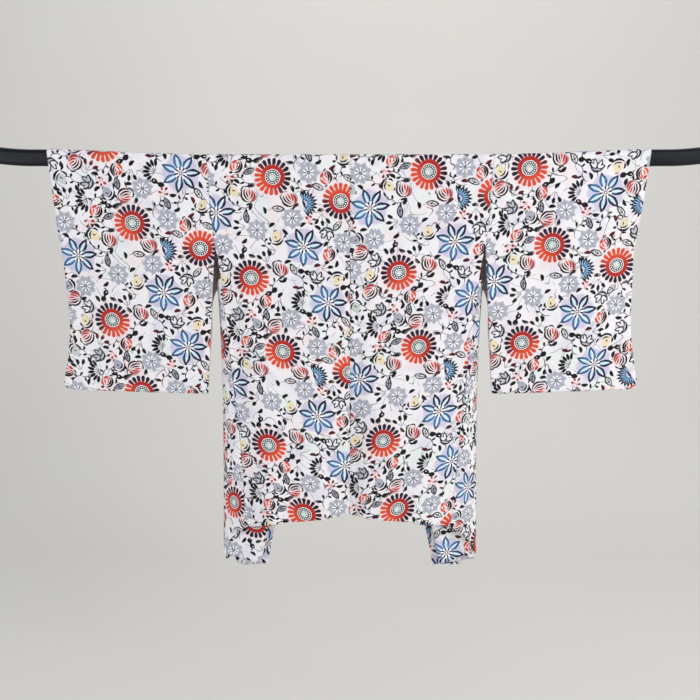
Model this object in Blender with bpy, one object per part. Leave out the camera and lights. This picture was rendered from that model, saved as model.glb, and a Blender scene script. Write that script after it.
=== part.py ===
"""A haori (short open kimono jacket) hung by its shoulders on a plain lacquered rail.

Units are metres, +Z is up. The origin is on the rail's axis, halfway along it. The back of the
jacket faces -Y, the two fronts hang behind it on the +Y side. +X and -X are its two sides.
Every cloth piece is a sheet of points on its middle surface, made into a wall by Solidify.
"""

import math
from collections import namedtuple

import bpy
import numpy as np

# ---------------------------------------------------------------- sizes of the cut
CLOTH = 0.0012                # wall of one cloth layer
COLLAR_WALL = 0.003           # the collar is folded cloth on cloth
SEAM_GAP = 0.0005             # between two pieces that are sewn together
GUSSET_GAP = 0.0009           # the same where the two pieces meet at an angle
COLLAR_GAP = 0.0012
SHOULDER = 0.2955             # half the body's width at the rail
SLEEVE_DROP = 0.515           # top of the rail to the sleeve's lowest line
NECK_RADIUS = 0.090           # the round of the neck, on the fronts' side
NECK_TOP = -0.050             # the neck seam at centre back
FRONT_CUT_TOP = 0.1985        # width of one front beside the neck
FRONT_CUT_HEM = 0.2270        # width of one front along the hem
COLLAR_WIDTH = 0.058
CUFF_END = -0.230             # lower end of the hand opening
ARM_END_BACK = -0.170         # where sleeve and body part, on the back
ARM_END_FRONT = -0.262        # the same on the fronts, lower as the jacket hangs off its fold
CORNER_ROUND = 0.020          # rounded outer corner of the sleeve
SLEEVE_FOLD = 0.008           # radius of the fold along the sleeve's bottom
CUFF_TAPER = 0.090            # the hand opening widens over this height
CUFF_SEAM = 0.0022            # half depth of the sewn edge below the hand opening

# ---------------------------------------------------------------- sizes of the rail
RAIL_HALF = 0.0170
RAIL_ROUND = 0.0085
WRAP_HALF = 0.0185            # half the width of the cloth's loop over the rail
WRAP_ROUND = 0.0100
WRAP_FLAT = WRAP_HALF - WRAP_ROUND
WRAP_END = WRAP_FLAT + WRAP_ROUND * math.pi / 2   # run from the top line to where cloth hangs free

RailRow = namedtuple("RailRow", "x rise")
RAIL = [
    RailRow(0.000, 0.0000), RailRow(0.200, 0.0000), RailRow(0.300, 0.0006),
    RailRow(0.400, 0.0026), RailRow(0.500, 0.0062), RailRow(0.570, 0.0092),
    RailRow(0.625, 0.0115), RailRow(0.637, 0.0118), RailRow(0.665, 0.0118),
    RailRow(0.690, 0.0128), RailRow(0.720, 0.0155), RailRow(0.750, 0.0195),
]

# ---------------------------------------------------------------- lines read by height
# Side line of the back: along the sleeve's seam, then free, then along the gusset.
BackEdge = namedtuple("BackEdge", "z left right y")
BACK_EDGE = [
    BackEdge(+0.020, 0.2955, 0.2955, -0.0185), BackEdge(-0.100, 0.2905, 0.2905, -0.0185),
    BackEdge(-0.170, 0.2840, 0.2840, -0.0182), BackEdge(-0.205, 0.2780, 0.2780, -0.0150),
    BackEdge(-0.240, 0.2740, 0.2740, -0.0120), BackEdge(-0.330, 0.2680, 0.2675, -0.0080),
    BackEdge(-0.460, 0.2560, 0.2533, -0.0070), BackEdge(-0.640, 0.2410, 0.2392, -0.0070),
    BackEdge(-0.830, 0.2360, 0.2251, -0.0080),
]
# Side line of a front: along the sleeve's seam, then free, then along the gusset.
FrontEdge = namedtuple("FrontEdge", "z x y")
FRONT_EDGE = [
    FrontEdge(+0.020, 0.2955, 0.0185), FrontEdge(-0.100, 0.2915, 0.0185),
    FrontEdge(-0.185, 0.2885, 0.0185), FrontEdge(-0.250, 0.2865, 0.0180),
    FrontEdge(-0.262, 0.2850, 0.0175), FrontEdge(-0.285, 0.2770, 0.0150),
    FrontEdge(-0.320, 0.2750, 0.0120), FrontEdge(-0.460, 0.2750, 0.0120),
    FrontEdge(-0.640, 0.2785, 0.0150), FrontEdge(-0.930, 0.2875, 0.0200),
]
# Collar seam of a front, from the side of the neck to the hem.
CollarSeam = namedtuple("CollarSeam", "z x")
COLLAR_SEAM = [
    CollarSeam(-0.140, 0.0900), CollarSeam(-0.250, 0.1030), CollarSeam(-0.400, 0.1290),
    CollarSeam(-0.550, 0.1650), CollarSeam(-0.700, 0.2040), CollarSeam(-0.850, 0.2400),
    CollarSeam(-0.940, 0.2570),
]
# Cuff line of each sleeve.
CuffLine = namedtuple("CuffLine", "z left right")
CUFF_LINE = [
    CuffLine(+0.030, 0.6250, 0.6210), CuffLine(-0.080, 0.6166, 0.6110),
    CuffLine(-0.163, 0.6110, 0.6015), CuffLine(-0.230, 0.6077, 0.6020),
    CuffLine(-0.359, 0.6035, 0.6057), CuffLine(-0.426, 0.6123, 0.6150),
    CuffLine(-0.500, 0.6300, 0.6320),
]
# Inner line of a sleeve below the armhole, where it hangs free of the body.
SleeveInner = namedtuple("SleeveInner", "z back front")
SLEEVE_INNER = [
    SleeveInner(-0.170, 0.2840, 0.2885), SleeveInner(-0.262, 0.2915, 0.2850),
    SleeveInner(-0.285, 0.2932, 0.2940), SleeveInner(-0.360, 0.2992, 0.3005),
    SleeveInner(-0.500, 0.3105, 0.3120),
]

# ---------------------------------------------------------------- folds at the hem
# The back across its half width at the hem: how far each place leaves the flat hang.
BackFold = namedtuple("BackFold", "u out")
BACK_FOLD = [
    BackFold(0.000, +0.0150), BackFold(0.020, +0.0148), BackFold(0.060, +0.0105),
    BackFold(0.120, +0.0010), BackFold(0.200, -0.0070), BackFold(0.330, -0.0110),
    BackFold(0.520, -0.0080), BackFold(0.700, -0.0100), BackFold(0.850, -0.0045),
    BackFold(1.000, 0.0000),
]
BACK_TURN = 0.72                       # share of the half width where the back turns to its side line
FOLD_TOP = -0.09                       # the folds start here and grow towards the hem
FOLD_GROWTH = 1.3
BACK_HEM_CENTRE = -0.779
BACK_HEM_SIDE = -0.808
FrontHem = namedtuple("FrontHem", "t z")
FRONT_HEM = [                          # side seam to collar seam
    FrontHem(0.00, -0.886), FrontHem(0.30, -0.907), FrontHem(0.55, -0.912),
    FrontHem(0.78, -0.908), FrontHem(0.92, -0.919), FrontHem(1.00, -0.929),
]
GUSSET_TOP_BACK = -0.240
GUSSET_TOP_FRONT = -0.285
GUSSET_BULGE = 0.6                     # how far it rounds out between its two seams
# Each front hangs in one soft pleat: from the side seam in to a first turn, out to a second
# turn and in again to the collar. The pleat starts at the neck and is deepest at the hem.
PLEAT_ROUND = 0.0090                   # radius of a turn
PleatStart = namedtuple("PleatStart", "z run")
PLEAT_START = [                        # cloth between the side seam and the first turn
    PleatStart(-0.140, 0.1250), PleatStart(-0.600, 0.1080), PleatStart(-0.830, 0.0850),
    PleatStart(-0.925, 0.0690),
]

FRONT_BELLY = 0.004                    # a front rounds out between the side seam and its pleat
BELLY_TOP = -0.25
FLUSH_SHARE = 0.35                     # above the pleat a front lies in the plane of the neck
FLUSH_END = -0.30
FRONT_EASE = 0.30                      # height over which either sets in or dies out

# ---------------------------------------------------------------- how the small edges turn
CUFF_PINCH = 0.62                      # share of a sleeve's width where it closes to its sewn edge
CUFF_LIP = 0.7                         # how far that edge stands out, for its half depth
COLLAR_TILT = 0.10                     # how far the collar leans back from the fronts
COLLAR_TILT_NECK = 0.22                # and how much more round the neck
COLLAR_TILT_END = -0.30
COLLAR_TILT_EASE = 0.16

# ---------------------------------------------------------------- how finely each sheet is drawn
# The seams' rows are shared by the pieces on both sides of them, so their gaps stay even.
NECK_TURNS = [18, 36, 54, 72]          # degrees round the neck from its top
NECK_SHARES = [0.0, 0.018, 0.05] + [
    NECK_RADIUS * math.sin(math.radians(turn)) / SHOULDER for turn in NECK_TURNS
]
FRONT_SHARES = [NECK_RADIUS / SHOULDER, 0.33, 0.36, 0.39, 0.42, 0.45, 0.48, 0.51, 0.54, 0.57,
                0.60, 0.63, 0.66, 0.69, 0.72, 0.76, 0.81, 0.87, 0.93, 0.965, 1.0]
NECK_COLUMN = len(NECK_SHARES)
NECK_FLOOR = NECK_TOP - NECK_RADIUS
ARM_HEIGHTS = [-0.045, -0.0925, -0.140, ARM_END_BACK, -0.230, ARM_END_FRONT]
GUSSET_FALLS = [0.09, 0.18, 0.27, 0.37, 0.47, 0.57, 0.67, 0.77, 0.86, 0.93, 1.0]
ARC_STEPS = 3
SLEEVE_COLUMNS = [0.0, 0.10, 0.25, 0.42, 0.60, 0.72, 0.82, 0.92, 1.0]
SLEEVE_LOW_HEIGHTS = [-0.470, -0.426, -0.359, -0.310, -0.285]
GUSSET_COLUMNS = 5


# ---------------------------------------------------------------- small tools
def smooth_through(places, values, at):
    """A smooth line through a table's points, read at one place."""
    places = np.asarray(places, float)
    values = np.asarray(values, float)
    if places[0] > places[-1]:
        places, values = places[::-1], values[::-1]
    steps = np.diff(places)
    slopes = np.diff(values) / steps
    tangents = np.empty_like(values)
    tangents[0], tangents[-1] = slopes[0], slopes[-1]
    tangents[1:-1] = (slopes[:-1] * steps[1:] + slopes[1:] * steps[:-1]) / (steps[1:] + steps[:-1])
    at = min(max(at, places[0]), places[-1])
    i = min(int(np.searchsorted(places, at, side="right")) - 1, len(steps) - 1)
    h = steps[i]
    t = (at - places[i]) / h
    return float(
        (1 + 2 * t) * (1 - t) ** 2 * values[i] + t * (1 - t) ** 2 * h * tangents[i]
        + t * t * (3 - 2 * t) * values[i + 1] + t * t * (t - 1) * h * tangents[i + 1]
    )


def read(table, column, at, key="z"):
    """One column of a table at one place on its key."""
    return smooth_through([getattr(r, key) for r in table], [getattr(r, column) for r in table], at)


def eased(t):
    """0 to 1 with soft ends."""
    t = min(max(t, 0.0), 1.0)
    return t * t * (3 - 2 * t)


def rail_rise(x):
    """How far the rail's axis stands above its middle."""
    return read(RAIL, "rise", abs(x), key="x")


def over_rail(run):
    """Where the hanging cloth's middle surface is, run metres from the rail's top line."""
    side = -1.0 if run < 0 else 1.0
    run = abs(run)
    if run <= WRAP_FLAT:
        return side * run, WRAP_HALF
    if run <= WRAP_END:
        turn = (run - WRAP_FLAT) / WRAP_ROUND
        return (side * (WRAP_FLAT + WRAP_ROUND * math.sin(turn)),
                WRAP_FLAT + WRAP_ROUND * math.cos(turn))
    return side * WRAP_HALF, WRAP_FLAT - (run - WRAP_END)


# ---------------------------------------------------------------- the body's surfaces
def back_point(side, share, z):
    """A place on the back: share of the half width from centre back, at hang height z."""
    edge_x = read(BACK_EDGE, "left" if side < 0 else "right", z)
    edge_y = read(BACK_EDGE, "y", z)
    fullness = eased((FOLD_TOP - z) / (FOLD_TOP - BACK_HEM_CENTRE)) ** FOLD_GROWTH
    y = -WRAP_HALF + fullness * read(BACK_FOLD, "out", share, key="u")
    y += (edge_y + WRAP_HALF) * eased((share - BACK_TURN) / (1 - BACK_TURN))
    x = share * edge_x
    return x, y, z + rail_rise(x)


def back_hem(share):
    """Height of the back's hem, which rises to centre back."""
    return BACK_HEM_CENTRE + (BACK_HEM_SIDE - BACK_HEM_CENTRE) * share ** 2


def front_cut(z):
    """Width of a front's cloth at height z, side seam to collar seam."""
    down = (z - NECK_FLOOR) / (FRONT_HEM[-1].z - NECK_FLOOR)
    return FRONT_CUT_TOP + (FRONT_CUT_HEM - FRONT_CUT_TOP) * min(max(down, 0.0), 1.0)


def pleat_turn(spare):
    """How far a pleat's turns turn, and the straight run between them, for spare cloth."""
    full = 2 * math.pi * PLEAT_ROUND
    if spare >= full:
        return math.pi, (spare - full) / 2
    low, high = 0.0, math.pi
    for _ in range(40):
        middle = (low + high) / 2
        if 2 * PLEAT_ROUND * (middle - math.sin(middle)) < spare:
            low = middle
        else:
            high = middle
    return low, 0.0


def front_point(t, z):
    """A place on a front: t from the side seam (0) to the collar seam (1), at hang height z."""
    side_x, side_y = read(FRONT_EDGE, "x", z), read(FRONT_EDGE, "y", z)
    across = side_x - read(COLLAR_SEAM, "x", z)
    cut = max(front_cut(z), across)
    turn, straight = pleat_turn(cut - across)
    arc = PLEAT_ROUND * turn
    first = read(PLEAT_START, "run", z)
    gone = t * cut
    x, y = side_x, side_y
    x -= min(gone, first)
    gone -= first
    if gone > 0:
        part = min(gone, arc) / PLEAT_ROUND
        x -= PLEAT_ROUND * math.sin(part)
        y += PLEAT_ROUND * (1 - math.cos(part))
        gone -= arc
    if gone > 0:
        x -= min(gone, straight) * math.cos(turn)
        y += min(gone, straight) * math.sin(turn)
        gone -= straight
    if gone > 0:
        part = turn - min(gone, arc) / PLEAT_ROUND
        x -= PLEAT_ROUND * (math.sin(turn) - math.sin(part))
        y += PLEAT_ROUND * (math.cos(part) - math.cos(turn))
        gone -= arc
    x -= max(gone, 0.0)
    belly = eased((BELLY_TOP - z) / FRONT_EASE)
    y += FRONT_BELLY * math.sin(math.pi * min(t * cut / first, 1.0)) * belly
    flush = 1 - eased((FLUSH_END - z) / FRONT_EASE)
    y += (WRAP_HALF - side_y) * eased(t / FLUSH_SHARE) * flush
    return x, y, z + rail_rise(x)


def front_hem(t):
    """Height of a front's hem, lowest at the collar."""
    return read(FRONT_HEM, "z", t, key="t")


def neck_height(x):
    """Height of the round neck seam."""
    centre = NECK_TOP - NECK_RADIUS
    return centre + math.sqrt(max(NECK_RADIUS ** 2 - x * x, 0.0))


def wrap_runs():
    """The rows of cloth that bend over the rail, as runs from its top line."""
    bend = [WRAP_FLAT + (WRAP_END - WRAP_FLAT) * k / ARC_STEPS for k in range(ARC_STEPS + 1)]
    return [-r for r in reversed(bend)] + [0.0] + bend


# ---------------------------------------------------------------- making objects
def material(name, colour, roughness, metallic=0.0):
    """A plain Principled material."""
    made = bpy.data.materials.new(name)
    made.use_nodes = True
    shader = made.node_tree.nodes["Principled BSDF"]
    shader.inputs["Base Color"].default_value = (*colour, 1)
    shader.inputs["Roughness"].default_value = roughness
    shader.inputs["Metallic"].default_value = metallic
    made.diffuse_color = (*colour, 1)
    return made


Finish = namedtuple("Finish", "name colour roughness")
SILK = Finish("printed_silk", (0.86, 0.85, 0.88), 0.62)
LACQUER = Finish("black_lacquer", (0.012, 0.014, 0.022), 0.22)


def add_mesh(name, points, faces, finish, wall=0.0):
    """An object from points and faces; a wall above 0 thickens it about its middle surface."""
    mesh = bpy.data.meshes.new(name)
    mesh.from_pydata([tuple(p) for p in points], [], faces)
    mesh.update()
    mesh.materials.append(material(f"{name}_{finish.name}", finish.colour, finish.roughness))
    mesh.shade_smooth()
    made = bpy.data.objects.new(name, mesh)
    bpy.context.scene.collection.objects.link(made)
    if wall:
        solid = made.modifiers.new("wall", "SOLIDIFY")
        solid.thickness = wall
        solid.offset = 0.0
        solid.use_even_offset = True
        solid.use_quality_normals = True
    return made


class Sheet:
    """Points kept by name, and the faces between them."""

    def __init__(self):
        self.points = []
        self.index = {}
        self.faces = []

    def put(self, key, point):
        self.index[key] = len(self.points)
        self.points.append(point)

    def face(self, *keys):
        self.faces.append([self.index[k] for k in keys])

    def mirrored(self, side):
        """Points and faces for side +1 or -1, with the outside kept outside."""
        points = [(side * x, y, z) for x, y, z in self.points]
        faces = self.faces if side > 0 else [list(reversed(f)) for f in self.faces]
        return points, faces


def back_height(share, fall):
    """Height of a row of the back that is fall of the way from the gusset's top to the hem."""
    return GUSSET_TOP_BACK + (back_hem(share) - GUSSET_TOP_BACK) * fall


def front_height(t, fall):
    """The same on a front."""
    return GUSSET_TOP_FRONT + (front_hem(t) - GUSSET_TOP_FRONT) * fall


def body_half(side, finish):
    """Half of the body, one length of cloth: back hem, over the rail, down to the front hem."""
    sheet = Sheet()
    shares = NECK_SHARES + FRONT_SHARES
    shares[0] = 0.75 * SEAM_GAP / SHOULDER
    falls = list(reversed(GUSSET_FALLS)) + [0.0]
    above = [z for z in reversed(ARM_HEIGHTS) if z > GUSSET_TOP_BACK] + [WRAP_FLAT]
    rows = 0
    for i, share in enumerate(shares):
        heights = [back_height(share, fall) for fall in falls] + above
        rows = len(heights)
        for j, z in enumerate(heights):
            sheet.put((i, j), back_point(side, share, z))
    for run in wrap_runs()[1:]:
        for i, share in enumerate(shares):
            x = share * read(BACK_EDGE, "right", WRAP_FLAT)
            y, z = over_rail(run)
            sheet.put((i, rows), (x, y, z + rail_rise(x)))
        rows += 1
    neck_rows = [z for z in ARM_HEIGHTS if z >= NECK_FLOOR]
    for z_plain in neck_rows:
        part = (z_plain - neck_rows[0]) / (NECK_FLOOR - neck_rows[0])
        for i, share in enumerate(shares):
            low = neck_height(share * SHOULDER) if i < NECK_COLUMN else NECK_FLOOR
            z = neck_rows[0] + (low - neck_rows[0]) * part
            edge = read(FRONT_EDGE, "x", z_plain)
            if i < NECK_COLUMN:
                x = share * SHOULDER
            else:
                x = NECK_RADIUS + (edge - NECK_RADIUS) * front_share(share)
            sheet.put((i, rows), (x, WRAP_HALF, z + rail_rise(x)))
        rows += 1
    neck_row = rows - 1
    arm_rows = [z for z in ARM_HEIGHTS if z < NECK_FLOOR]
    for i in range(NECK_COLUMN, len(shares)):
        t = 1 - front_share(shares[i])
        heights = arm_rows + [GUSSET_TOP_FRONT] + [front_height(t, fall) for fall in GUSSET_FALLS]
        for j, z in enumerate(heights):
            sheet.put((i, rows + j), front_point(t, z))
    rows += len(arm_rows) + 1 + len(GUSSET_FALLS)
    for j in range(rows - 1):
        first = 0 if j < neck_row else NECK_COLUMN
        for i in range(first, len(shares) - 1):
            sheet.face((i, j), (i + 1, j), (i + 1, j + 1), (i, j + 1))
    points, faces = sheet.mirrored(side)
    name = "body_right" if side > 0 else "body_left"
    return add_mesh(name, points, faces, finish, CLOTH)


def front_share(share):
    """Share of a front's width, from the collar's column (0) to the side seam (1)."""
    return (share - FRONT_SHARES[0]) / (1 - FRONT_SHARES[0])


def hermite(start, start_way, end, end_way, t):
    """A place on a curve that leaves one point and reaches another in given directions."""
    return (
        (1 + 2 * t) * (1 - t) ** 2 * start + t * (1 - t) ** 2 * start_way
        + t * t * (3 - 2 * t) * end + t * t * (t - 1) * end_way
    )


def gusset(side, finish):
    """The long wedge between back and front, from under the arm to the hem."""
    sheet = Sheet()
    beside = FRONT_SHARES[-2]
    falls = [0.0] + GUSSET_FALLS
    for j, fall in enumerate(falls):
        back = np.array(back_point(side, 1.0, back_height(1.0, fall)))
        inner = np.array(back_point(side, beside, back_height(beside, fall)))
        front = np.array(front_point(0.0, front_height(0.0, fall)))
        t = 1 - front_share(beside)
        past = np.array(front_point(t, front_height(t, fall)))
        leave = (back - inner) / np.linalg.norm(back - inner)
        reach = (past - front) / np.linalg.norm(past - front)
        width = np.linalg.norm(front - back)
        start = back + leave * GUSSET_GAP
        end = front - reach * GUSSET_GAP
        for i in range(GUSSET_COLUMNS + 1):
            t = i / GUSSET_COLUMNS
            at = hermite(start, leave * width * GUSSET_BULGE, end, reach * width * GUSSET_BULGE, t)
            sheet.put((i, j), tuple(at))
    for j in range(len(falls) - 1):
        for i in range(GUSSET_COLUMNS):
            sheet.face((i, j + 1), (i + 1, j + 1), (i + 1, j), (i, j))
    points, faces = sheet.mirrored(side)
    name = "gusset_right" if side > 0 else "gusset_left"
    return add_mesh(name, points, faces, finish, CLOTH)


def sleeve_inner(z, back_layer):
    """Inner line of the sleeve: sewn along the armhole, then hanging free."""
    end = ARM_END_BACK if back_layer else ARM_END_FRONT
    if z >= end:
        table, column = (BACK_EDGE, "right") if back_layer else (FRONT_EDGE, "x")
        return read(table, column, z) + SEAM_GAP
    return read(SLEEVE_INNER, "back" if back_layer else "front", z) + SEAM_GAP


def sleeve_half_depth(z):
    """Half the gap between a sleeve's two layers, closing towards the bottom fold."""
    lowest = WRAP_HALF - SLEEVE_DROP + SLEEVE_FOLD
    close = eased((ARM_END_FRONT - z) / (ARM_END_FRONT - lowest))
    return WRAP_HALF + (SLEEVE_FOLD - WRAP_HALF) * close


def cuff_open(z):
    """How far the hand opening stands open at height z: 0 where it is sewn shut, 1 well above."""
    return eased((z - CUFF_END) / CUFF_TAPER)


def sleeve(side, finish):
    """One sleeve, a bag open at the body, at the hand and below the armhole."""
    sheet = Sheet()
    bottom = WRAP_HALF - SLEEVE_DROP
    fold_centre = bottom + SLEEVE_FOLD
    cuff = "left" if side < 0 else "right"
    layer = [(fold_centre - SLEEVE_FOLD * math.cos(a), SLEEVE_FOLD * math.sin(a))
             for a in (0.0, math.pi / 4, math.pi / 2)]
    heights = SLEEVE_LOW_HEIGHTS + list(reversed(ARM_HEIGHTS))
    layer += [(z, sleeve_half_depth(z)) for z in heights] + [(WRAP_FLAT, WRAP_HALF)]
    ring = [(z, -depth, True) for z, depth in layer]
    ring += [(over_rail(r)[1], over_rail(r)[0], r < 0) for r in wrap_runs()[1:-1]]
    ring += [(z, depth, False) for z, depth in reversed(layer[1:])]
    count = len(ring)
    last = len(SLEEVE_COLUMNS) - 1
    for j, (z, y, back_layer) in enumerate(ring):
        inner = sleeve_inner(z, back_layer)
        outer = read(CUFF_LINE, cuff, z)
        near = CORNER_ROUND - (z - bottom)
        if near > 0:
            outer -= CORNER_ROUND - math.sqrt(max(CORNER_ROUND ** 2 - near ** 2, 0.0))
        shut = (1 - cuff_open(z)) * (1 - CUFF_SEAM / max(abs(y), CUFF_SEAM))
        for i, share in enumerate(SLEEVE_COLUMNS):
            x = inner + (outer - inner) * share
            depth = y * (1 - shut * eased((share - CUFF_PINCH) / (1 - CUFF_PINCH)))
            sheet.put((i, j), (x, depth, z + rail_rise(x)))
    for j in range(count):
        above = (j + 1) % count
        for i in range(last):
            sheet.face((i, j), (i + 1, j), (i + 1, above), (i, above))
    closed = 2 + heights.index(CUFF_END) + 1
    sheet.index["edge", 0] = sheet.index[last, 0]
    for j in range(1, closed + 1):
        x, y, z = sheet.points[sheet.index[last, j]]
        sheet.put(("edge", j), (x + abs(y) * CUFF_LIP, 0.0, z))
    for j in range(closed):
        back = [(last, j), ("edge", j), ("edge", j + 1), (last, j + 1)]
        front_low, front_high = (last, (count - j) % count), (last, count - j - 1)
        front = [("edge", j), front_low, front_high, ("edge", j + 1)]
        if j == 0:
            back, front = back[1:], front[1:]
        sheet.face(*back)
        sheet.face(*front)
    points, faces = sheet.mirrored(side)
    name = "sleeve_right" if side > 0 else "sleeve_left"
    return add_mesh(name, points, faces, finish, CLOTH)


def collar_line():
    """The collar's seam from the right hem over the back neck to the left hem."""
    heights = [z for z in ARM_HEIGHTS if z < NECK_FLOOR] + [GUSSET_TOP_FRONT]
    heights += [front_height(1.0, fall) for fall in GUSSET_FALLS]
    right = [np.array(front_point(1.0, z)) for z in reversed(heights)]
    turns = [math.radians(90 - t) for t in [90] + NECK_TURNS[::-1] + [0] + [-t for t in NECK_TURNS]]
    arc = [np.array([NECK_RADIUS * math.cos(turn), WRAP_HALF,
                     NECK_FLOOR + NECK_RADIUS * math.sin(turn)]) for turn in turns]
    arc.append(arc[0] * np.array([-1, 1, 1]))
    left = [p * np.array([-1, 1, 1]) for p in reversed(right)]
    return right + arc + left


def collar(finish):
    """The long folded band round the neck and down both fronts."""
    sheet = Sheet()
    line = collar_line()
    shares = [0.0, 0.25, 0.5, 0.75, 1.0]
    for j, at in enumerate(line):
        ahead = line[min(j + 1, len(line) - 1)] - line[max(j - 1, 0)]
        ahead /= np.linalg.norm(ahead)
        inward = np.cross(np.array([0.0, 1.0, 0.0]), ahead)
        inward /= np.linalg.norm(inward)
        if inward[2] > 0 and abs(inward[0]) < 0.5 or inward[0] * at[0] > 0:
            inward = -inward
        round_neck = eased((at[2] - COLLAR_TILT_END) / COLLAR_TILT_EASE)
        tilt = np.array([0.0, COLLAR_TILT + COLLAR_TILT_NECK * round_neck, 0.0])
        way = inward + tilt
        way /= np.linalg.norm(way)
        for i, share in enumerate(shares):
            reach = COLLAR_GAP + COLLAR_WIDTH * share
            point = at + way * reach
            if j in (0, len(line) - 1):
                point[2] = at[2] - 0.001
            sheet.put((i, j), tuple(point))
    for j in range(len(line) - 1):
        for i in range(len(shares) - 1):
            sheet.face((i, j), (i, j + 1), (i + 1, j + 1), (i + 1, j))
    return add_mesh("collar", sheet.points, sheet.faces, finish, COLLAR_WALL)


def rail(finish):
    """The lacquered rail, a square bar with rounded corners and ends that lift a little."""
    stations = [-r.x for r in reversed(RAIL[1:])] + [r.x for r in RAIL]
    flat = RAIL_HALF - RAIL_ROUND
    section = []
    for quarter in range(4):
        for k in range(ARC_STEPS + 1):
            turn = math.pi / 2 * (quarter + k / ARC_STEPS)
            corner_y = flat if quarter in (0, 3) else -flat
            corner_z = flat if quarter in (0, 1) else -flat
            section.append((corner_y + RAIL_ROUND * math.cos(turn),
                            corner_z + RAIL_ROUND * math.sin(turn)))
    sheet = Sheet()
    for j, x in enumerate(stations):
        for i, (y, z) in enumerate(section):
            sheet.put((i, j), (x, y, z + rail_rise(x)))
    count = len(section)
    for j in range(len(stations) - 1):
        for i in range(count):
            beside = (i + 1) % count
            sheet.face((i, j), (beside, j), (beside, j + 1), (i, j + 1))
    sheet.face(*[(i, 0) for i in reversed(range(count))])
    sheet.face(*[(i, len(stations) - 1) for i in range(count)])
    made = add_mesh("rail", sheet.points, sheet.faces, finish)
    made.data.set_sharp_from_angle(angle=math.radians(50))
    return made


def main():
    """Clears the scene, builds every piece and hangs them all from one empty at the origin."""
    for old in list(bpy.data.objects):
        bpy.data.objects.remove(old)
    pieces = [rail(LACQUER), collar(SILK)]
    for side in (-1, 1):
        pieces += [body_half(side, SILK), gusset(side, SILK), sleeve(side, SILK)]
    hold = bpy.data.objects.new("hold", None)
    bpy.context.scene.collection.objects.link(hold)
    for piece in pieces:
        piece.parent = hold


main()
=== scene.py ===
"""The looks of a haori, a short open kimono jacket, that hangs by its shoulders on a lacquered rail.

Lengths are metres and +Z is up, as in the frame. The back of the jacket faces -Y and its two fronts
hang behind it. The print is drawn in centimetres of flat cloth, so it follows every fold.
"""

import logging
import math
import random
from dataclasses import dataclass, field
from enum import Enum
from functools import cached_property
from typing import Iterable, Optional, Sequence, Union

import bpy
import numpy as np
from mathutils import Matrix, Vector


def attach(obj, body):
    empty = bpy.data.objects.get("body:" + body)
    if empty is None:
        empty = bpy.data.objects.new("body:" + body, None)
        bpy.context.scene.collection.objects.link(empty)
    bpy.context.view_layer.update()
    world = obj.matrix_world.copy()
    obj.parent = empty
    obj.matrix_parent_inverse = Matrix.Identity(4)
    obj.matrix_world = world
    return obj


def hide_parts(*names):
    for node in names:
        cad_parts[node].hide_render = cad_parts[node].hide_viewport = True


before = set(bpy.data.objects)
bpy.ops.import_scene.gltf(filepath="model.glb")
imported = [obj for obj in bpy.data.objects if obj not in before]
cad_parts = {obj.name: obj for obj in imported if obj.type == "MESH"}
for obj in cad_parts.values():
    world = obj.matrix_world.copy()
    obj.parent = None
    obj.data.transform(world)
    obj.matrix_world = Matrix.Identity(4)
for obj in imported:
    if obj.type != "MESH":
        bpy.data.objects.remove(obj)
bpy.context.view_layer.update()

log = logging.getLogger("haori")

Array = np.ndarray
Numbers = Union[Array, float]
Colour = tuple[float, float, float, float]
Place = tuple[float, float, float]

CENTIMETRES = 100.0  # in a metre
TINY = 1e-12  # keeps a length from being 0 where it divides
INK_EDGE = 0.035  # the soft edge of a stroke of ink, in centimetres


# ---- Tables and curves ----
def smooth_through(places: Array, values: Array, at: Numbers) -> Array:
    """A smooth line through a table's points, read at many places.

    Args:
        places: where the table's rows are, rising.
        values: the table's values there.
        at: the places to read.

    Returns:
        The values at those places; beyond the table, its end value.
    """
    steps = np.diff(places)
    slopes = np.diff(values) / steps
    tangents = np.empty_like(values)
    tangents[0], tangents[-1] = slopes[0], slopes[-1]
    tangents[1:-1] = (slopes[:-1] * steps[1:] + slopes[1:] * steps[:-1]) / (steps[1:] + steps[:-1])
    at = np.clip(at, places[0], places[-1])
    i = np.clip(np.searchsorted(places, at, side="right") - 1, 0, len(steps) - 1)
    h = steps[i]
    t = (at - places[i]) / h
    return (
        (1 + 2 * t) * (1 - t) ** 2 * values[i] + t * (1 - t) ** 2 * h * tangents[i]
        + t * t * (3 - 2 * t) * values[i + 1] + t * t * (t - 1) * h * tangents[i + 1]
    )


def eased(t: Numbers) -> Array:
    """0 to 1 with soft ends."""
    t = np.clip(t, 0.0, 1.0)
    return t * t * (3 - 2 * t)


class Table:
    """A short table with named columns, read smoothly along its first column."""

    def __init__(self, columns: str, rows: Sequence[Sequence[float]]) -> None:
        """Keeps the columns, sorted along the first.

        Args:
            columns: the columns' names, with spaces between.
            rows: one row of numbers for each place.
        """
        ordered = np.array(sorted(rows), float)
        self.places = ordered[:, 0]
        self.values = dict(zip(columns.split(), ordered.T))

    def at(self, column: str, place: Numbers) -> Array:
        """One column at some places of the first."""
        return smooth_through(self.places, self.values[column], place)


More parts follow.
